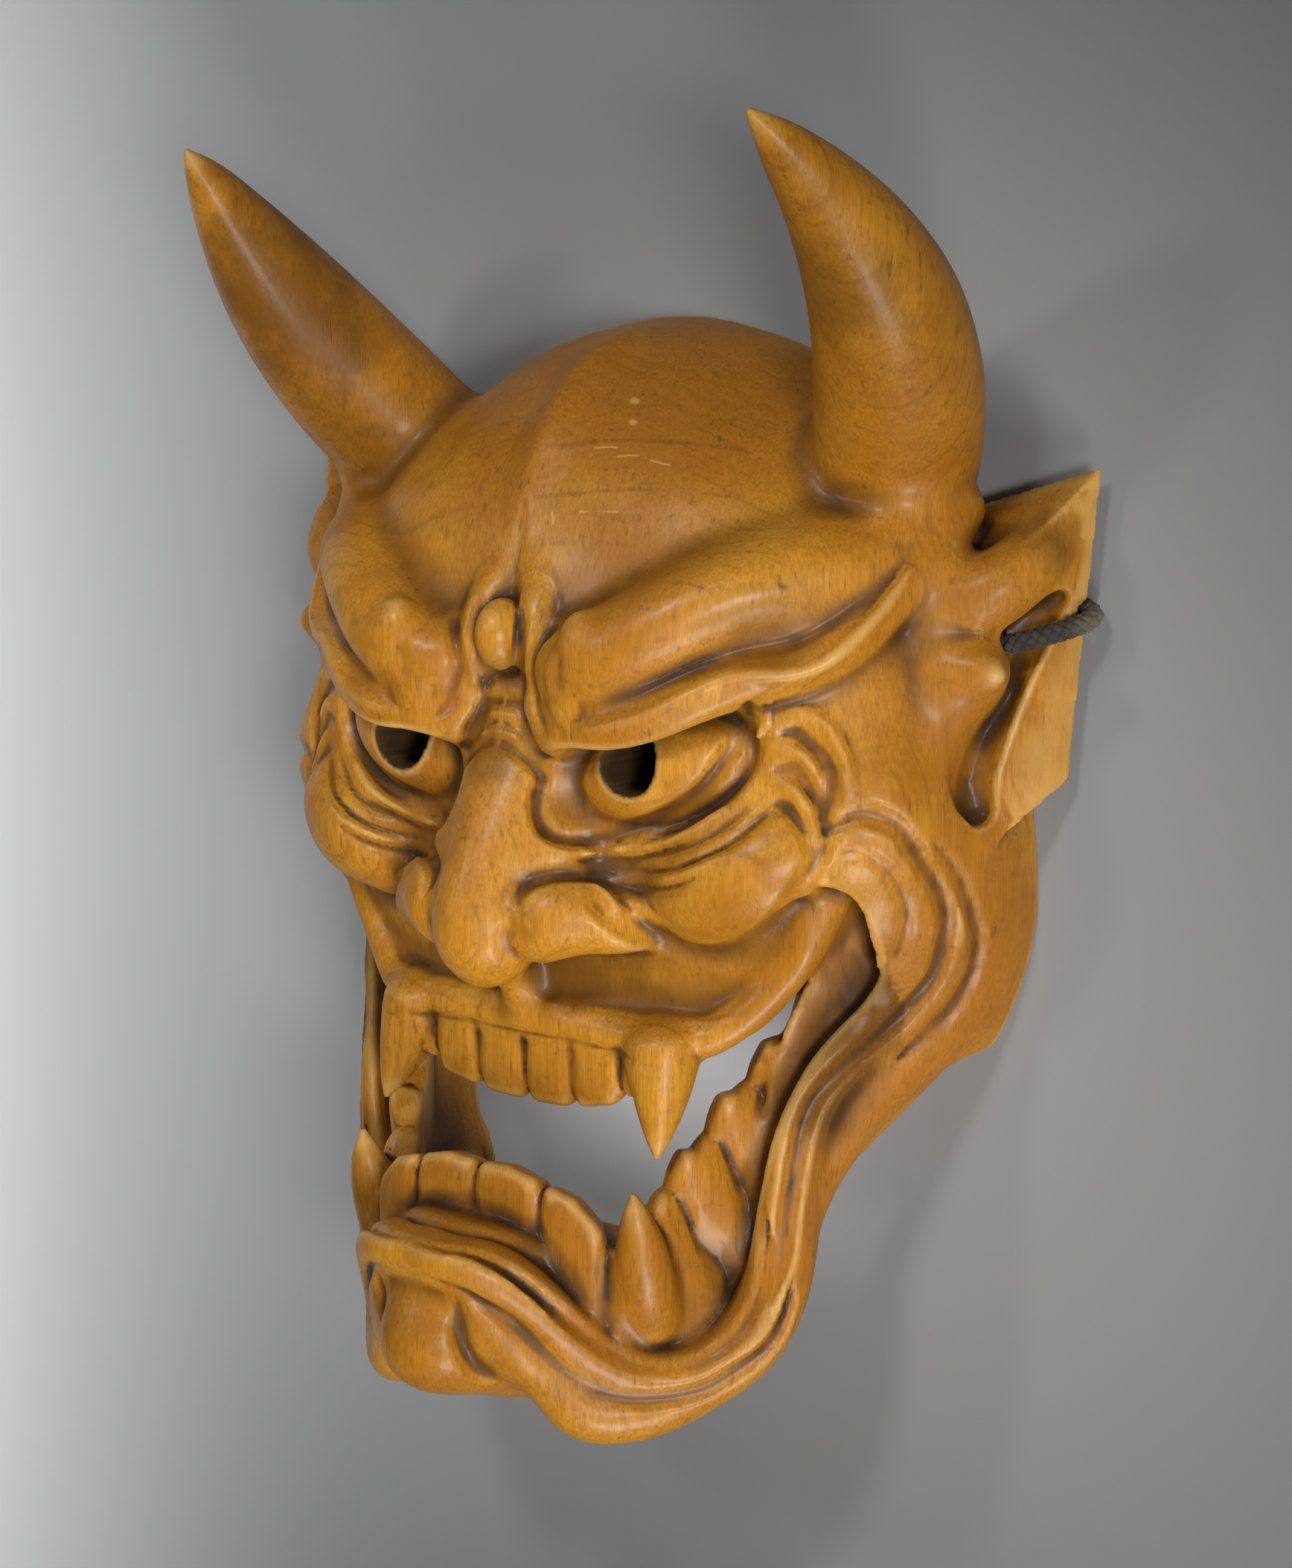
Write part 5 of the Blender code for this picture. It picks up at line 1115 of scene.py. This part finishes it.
def varnished_wood():
    """Honey-brown wood under thin old varnish: dark in the cuts and hollows, partly patina and partly
    painted shade, and paler where hands have rubbed it.
    """
    material = bpy.data.materials.new("varnished_wood")
    material.use_nodes = True
    tree = material.node_tree
    nodes, links = tree.nodes, tree.links
    shader = nodes["Principled BSDF"]
    shader.inputs["IOR"].default_value = 1.4
    shader.inputs["Specular IOR Level"].default_value = 0.3
    shader.inputs["Coat Weight"].default_value = 0.11
    shader.inputs["Coat Roughness"].default_value = 0.23
    place = object_place(nodes)

    def placed(group, **values):
        node = nodes.new("ShaderNodeGroup")
        node.node_tree = group
        links.new(place, node.inputs["Place"])
        for label, value in values.items():
            node.inputs[label.replace("_", " ").capitalize()].default_value = value
        return node.outputs

    scratches = scratch_mark()
    smoke_and_shade = smoke_and_shade_patch()
    rings = placed(growth_rings())
    fibre = placed(wood_fibre())
    recess = nodes.new("ShaderNodeAttribute")
    recess.attribute_name = "recess"
    wide = nodes.new("ShaderNodeAttribute")
    wide.attribute_name = "deep"
    tone = mixed(tree, ramp(tree, fibre["Cloud"], 0.34, 0.66, 0.0, 1.0), (*HONEY, 1), (*AMBER, 1))
    tone = mixed(tree, ramp(tree, noise(tree, place, 12, 4.0, 0.55), 0.42, 0.66, 0.0, 0.85), tone,
                 (*SMOKED, 1))
    tone = mixed(tree, ramp(tree, rings["Band"], 0.0, 1.0, 0.0, 0.22), tone, (*AMBER, 1))
    tone = mixed(tree, ramp(tree, fibre["Fibre"], 0.38, 0.62, 0.0, 0.30), tone, (*BARK, 1))
    tone = mixed(tree, joined(tree, "ShaderNodeMath", "MULTIPLY", rings["Line"], 0.30), tone, (*BARK, 1))
    tone = mixed(tree, joined(tree, "ShaderNodeMath", "MULTIPLY", fibre["Pore"], 0.35), tone, (*SOOT_AND_SHADE, 1))
    # Painted shade, partly patina: the more wood lies round a point (recess, deep and crack), the darker it
    # is painted.
    tone = mixed(tree, ramp(tree, recess.outputs["Fac"], 0.515, 0.59, 0.0, 0.82), tone, (*BARK, 1))
    tone = mixed(tree, ramp(tree, recess.outputs["Fac"], 0.555, 0.67, 0.0, 0.90), tone, (*SOOT_AND_SHADE, 1))
    tone = mixed(tree, ramp(tree, wide.outputs["Fac"], 0.50, 0.60, 0.0, 0.6), tone, (*SMOKE_AND_SHADE_BROWN, 1))
    tone = mixed(tree, ramp(tree, wide.outputs["Fac"], 0.55, 0.78, 0.0, 0.75), tone, (*SOOT_AND_SHADE, 1))
    crack = nodes.new("ShaderNodeAttribute")
    crack.attribute_name = "crack"
    tone = mixed(tree, ramp(tree, crack.outputs["Fac"], 0.52, 0.59, 0.0, 0.82), tone, (*SOOT_AND_SHADE, 1))
    stain = ramp(tree, noise(tree, place, 55, 4.0, 0.62), 0.47, 0.70, 0.0, 0.65)
    tone = mixed(tree, stain, tone, (*SMOKED, 1))
    specks = ramp(tree, noise(tree, place, 420, 3.0, 0.6), 0.54, 0.72, 0.0, 0.28)
    tone = mixed(tree, specks, tone, (*BARK, 1))
    # Darker patches: smoke stains on the horns, and painted shade in the hollows of the brow, nose root,
    # nostril and under-eye folds.
    for centre, reach, share in SMOKE_AND_SHADE_PATCHES:
        cloud = placed(smoke_and_shade, Centre=centre, Reach=reach)["Mark"]
        tone = mixed(tree, joined(tree, "ShaderNodeMath", "MULTIPLY", cloud, share), tone, (*SMOKE_AND_SHADE_BROWN, 1))
    rubbed = joined(tree, "ShaderNodeMath", "MULTIPLY",
                    ramp(tree, recess.outputs["Fac"], 0.44, 0.32, 0.0, 0.6),
                    ramp(tree, fibre["Cloud"], 0.35, 0.6, 0.3, 1.0))
    tone = mixed(tree, rubbed, tone, (*PALE, 1))
    for colour, share, marks in ((PALE, 0.45, PALE_MARKS), (SOOT_AND_SHADE, 0.5, DARK_MARKS),
                                 (BARK, 0.3, GRAIN_LINES)):
        for start, end, width in marks:
            mark = placed(scratches, Start=start, End=end, Width=width)["Mark"]
            tone = mixed(tree, joined(tree, "ShaderNodeMath", "MULTIPLY", mark, share), tone, (*colour, 1))
    # Painted shade from the mesh: near black in the eye holes and darker in the corner pockets of the
    # mouth; the finish is rougher there too.
    painted_shade = nodes.new("ShaderNodeAttribute")
    painted_shade.attribute_name = "painted_shade"
    tone = mixed(tree, painted_shade.outputs["Fac"], tone, (0.016, 0.008, 0.003, 1))
    links.new(tone, shader.inputs["Base Color"])
    gloss = ramp(tree, fibre["Cloud"], 0.3, 0.7, 0.40, 0.54)
    gloss = joined(tree, "ShaderNodeMath", "ADD", gloss,
                   ramp(tree, recess.outputs["Fac"], 0.52, 0.7, 0.0, 0.25))
    gloss = joined(tree, "ShaderNodeMath", "ADD", gloss,
                   ramp(tree, painted_shade.outputs["Fac"], 0.0, 0.6, 0.0, 0.45))
    links.new(gloss, shader.inputs["Roughness"])
    height = joined(tree, "ShaderNodeMath", "ADD",
                    joined(tree, "ShaderNodeMath", "MULTIPLY", fibre["Fibre"], 0.35),
                    joined(tree, "ShaderNodeMath", "MULTIPLY", noise(tree, place, 130, 4.0, 0.6), 1.9))
    height = joined(tree, "ShaderNodeMath", "SUBTRACT", height,
                    joined(tree, "ShaderNodeMath", "MULTIPLY", fibre["Pore"], 0.3))
    bump = nodes.new("ShaderNodeBump")
    bump.inputs["Strength"].default_value = 0.35
    bump.inputs["Distance"].default_value = 0.0006
    links.new(height, bump.inputs["Height"])
    links.new(bump.outputs["Normal"], shader.inputs["Normal"])
    return material


HONEY = (0.54, 0.245, 0.020)
AMBER = (0.43, 0.170, 0.010)
SMOKED = (0.30, 0.105, 0.006)
BARK = (0.11, 0.038, 0.004)
SOOT_AND_SHADE = (0.024, 0.011, 0.004)
PALE = (0.66, 0.40, 0.12)
SMOKE_AND_SHADE_BROWN = (0.13, 0.050, 0.004)
# Darker patches, as centre, reach and share: smoke stains on both horns and near the base of the left horn,
# a dark patch on the upper face of the right ear, and painted shade in the valley under the right brow, the
# furrows at the root of the nose, the right nostril and the folds under the right eye.
SMOKE_AND_SHADE_PATCHES = (
    ((-0.0765, 0.1145, 0.0640), 0.034, 0.8), ((-0.0760, 0.1000, 0.0560), 0.020, 0.5),
    ((0.0850, 0.1110, 0.0680), 0.020, 0.55),
    ((0.0630, 0.0420, 0.0575), 0.015, 0.45), ((-0.0006, 0.0110, 0.0743), 0.012, 0.6),
    ((0.0024, 0.0244, 0.0698), 0.012, 0.5),
    ((0.0373, -0.0425, 0.0571), 0.020, 0.5), ((0.0112, -0.0418, 0.0624), 0.013, 0.8),
    ((0.1095, 0.0611, 0.0132), 0.013, 0.5),
    ((-0.0645, 0.0779, 0.0377), 0.018, 0.45), ((0.0333, -0.0161, 0.0631), 0.008, 0.4),
)
PALE_MARKS = (
    ((0.0168, 0.0898, 0.0433), (0.0175, 0.0895, 0.0433), 0.0013),
    ((0.0195, 0.0852, 0.0475), (0.0200, 0.0848, 0.0475), 0.0011),
    ((0.0138, 0.0793, 0.0539), (0.0193, 0.0794, 0.0527), 0.0004),
    ((0.0202, 0.0776, 0.0540), (0.0252, 0.0777, 0.0523), 0.0004),
    ((0.0282, 0.0766, 0.0521), (0.0327, 0.0757, 0.0512), 0.0004),
    ((0.0154, 0.0653, 0.0614), (0.0247, 0.0655, 0.0599), 0.0004),
    ((0.0079, 0.0648, 0.0623), (0.0088, 0.0625, 0.0629), 0.0005),
    ((0.0471, 0.0348, 0.0748), (0.0491, 0.0316, 0.0736), 0.0006),
)
DARK_MARKS = (
    ((0.0654, 0.0523, 0.0594), (0.0684, 0.0507, 0.0582), 0.0009),
    ((0.0688, 0.0487, 0.0587), (0.0713, 0.0471, 0.0566), 0.0009),
    ((0.0351, 0.0523, 0.0627), (0.0400, 0.0506, 0.0638), 0.0006),
)
GRAIN_LINES = (
    ((-0.0003, 0.0788, 0.0578), (0.0132, 0.0807, 0.0531), 0.0009),
    ((0.0132, 0.0807, 0.0531), (0.0302, 0.0808, 0.0478), 0.0009),
    ((0.0302, 0.0808, 0.0478), (0.0457, 0.0789, 0.0408), 0.0009),
    ((0.0031, 0.0683, 0.0622), (0.0268, 0.0704, 0.0571), 0.0008),
    ((0.0268, 0.0704, 0.0571), (0.0478, 0.0691, 0.0496), 0.0008),
)

carving = carve(CARVE_STEP)
points, quads = skin(carving)
# How much wood lies round each point at three reaches, kept on the mesh for the painted shade in the cuts
# and hollows.
wood = np.clip(0.5 - carving.field / carving.step, 0, 1).astype(np.float32)
both_sides = np.concatenate([wood[20:0:-1], wood])
at_hand = blurred(both_sides, 1)[20:]
close_by = blurred(both_sides, max(1, round(2.2 / CARVE_STEP)))[20:]
wide_by = blurred(both_sides, max(1, round(7.0 / CARVE_STEP)))[20:]
mesh = bpy.data.meshes.new("carved_mask")
mesh.from_pydata(((points + (0, MASK_SHIFT_Y, 0)) * 0.001).tolist(), [], quads.tolist())
carved_mask = bpy.data.objects.new("carved_mask", mesh)
bpy.context.scene.collection.objects.link(carved_mask)
thin = carved_mask.modifiers.new("thin", "DECIMATE")
thin.ratio = min(1.0, MASK_TRIANGLES / (2 * len(quads)))
carved_mask.data = bpy.data.meshes.new_from_object(
    carved_mask.evaluated_get(bpy.context.evaluated_depsgraph_get()))
carved_mask.modifiers.remove(thin)
mesh = carved_mask.data
places = np.empty(len(mesh.vertices) * 3)
mesh.vertices.foreach_get("co", places)
places = places.reshape(-1, 3)
low_rim = np.abs(places[:, 2]) < 0.0003
places[low_rim, 2] = 0
mesh.vertices.foreach_set("co", places.ravel())
in_block = places * 1000 - (0, MASK_SHIFT_Y, 0)
for name, grid in (("crack", at_hand), ("recess", close_by), ("deep", wide_by)):
    kept = mesh.attributes.new(name, "FLOAT", "POINT")
    kept.data.foreach_set("value", read_grid(carving, grid, in_block).astype(np.float32))
# Painted shade: near black on the walls of each eye hole, and darker in the corner pocket on each side of
# the mouth.
from_axis = np.hypot(np.abs(in_block[:, 0]) - 33.6, in_block[:, 1] - 7.5)
painted_shade = np.clip((8.6 - from_axis) / 0.7, 0, 1) * np.clip((71.5 - in_block[:, 2]) / 2, 0, 1) * 0.93
corner = np.array([(83, -22, 26), (79, -38, 26), (71, -54, 32), (64, -72, 38)], float)
to_corner = np.min([np.linalg.norm(np.abs(in_block * (1, 0, 0)) + in_block * (0, 1,
                                                                              1) - (a * (1 - t) + b * t),
                                                                              axis=1)
                    for a, b in zip(corner[:-1], corner[1:]) for t in (0, 0.33, 0.67, 1)], axis=0)
painted_shade = np.maximum(painted_shade, np.clip((14 - to_corner) / 6, 0, 1) * 0.6 * (np.abs(in_block[:, 0]) < 82))
kept = mesh.attributes.new("painted_shade", "FLOAT", "POINT")
kept.data.foreach_set("value", painted_shade.astype(np.float32))
mesh.polygons.foreach_set("use_smooth", np.ones(len(mesh.polygons), bool))
mesh.set_sharp_from_angle(angle=math.radians(50))
mesh.materials.append(varnished_wood())
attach(carved_mask, "root")
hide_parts("mask")

# Table: a plain pale grey floor under the mask.
floor_mesh = bpy.data.meshes.new("pale_floor")
floor_mesh.from_pydata([(-3, -3, 0), (3, -3, 0), (3, 3, 0), (-3, 3, 0)], [], [(0, 1, 2, 3)])
pale_floor = bpy.data.objects.new("pale_floor", floor_mesh)
pale_floor.location.z = -0.0002
bpy.context.scene.collection.objects.link(pale_floor)
paint = bpy.data.materials.new("pale_grey_floor")
paint.use_nodes = True
paint.node_tree.nodes["Principled BSDF"].inputs["Base Color"].default_value = (0.25, 0.25, 0.25, 1)
paint.node_tree.nodes["Principled BSDF"].inputs["Roughness"].default_value = 0.9
floor_mesh.materials.append(paint)


# Light: a soft box beside the camera, fill from the other sides, one box over the left floor,
# a weak even sky, and a small glow behind the mask that lights the floor seen through the mouth.
def soft_box(name, place, target, size, spread, power):
    lamp = bpy.data.lights.new(name, "AREA")
    lamp.shape = "RECTANGLE"
    lamp.size, lamp.size_y = size
    lamp.spread = math.radians(spread)
    lamp.energy = power
    holder = bpy.data.objects.new(name, lamp)
    holder.location = place
    holder.rotation_euler = (Vector(target) - Vector(place)).to_track_quat("-Z", "Y").to_euler()
    bpy.context.scene.collection.objects.link(holder)


soft_box("left_box", (-0.46, -0.06, 0.40), (-0.46, -0.06, 0), (0.20, 0.80), 88, 3.9)
soft_box("window_box", (-0.45, 0.35, 0.85), (0, 0, 0.05), (0.12, 0.12), 50, 0.11)
soft_box("top_box", (0.10, 0.60, 0.80), (0, 0, 0.05), (0.16, 0.16), 32, 0.14)
soft_box("key_box", (0.76, -0.08, 0.72), (0.0, -0.02, 0.05), (0.25, 0.25), 34, 0.31)
soft_box("low_box", (0.55, -0.66, 0.42), (0.02, -0.06, 0.05), (0.30, 0.30), 34, 0.30)
soft_box("rear_glow", (-0.005, -0.075, 0.034), (-0.005, -0.075, 0), (0.08, 0.045), 120, 0.022)
world = bpy.data.worlds.new("even_sky")
world.use_nodes = True
world.node_tree.nodes["Background"].inputs["Color"].default_value = (0.9, 0.93, 1, 1)
world.node_tree.nodes["Background"].inputs["Strength"].default_value = 0.13
bpy.context.scene.world = world
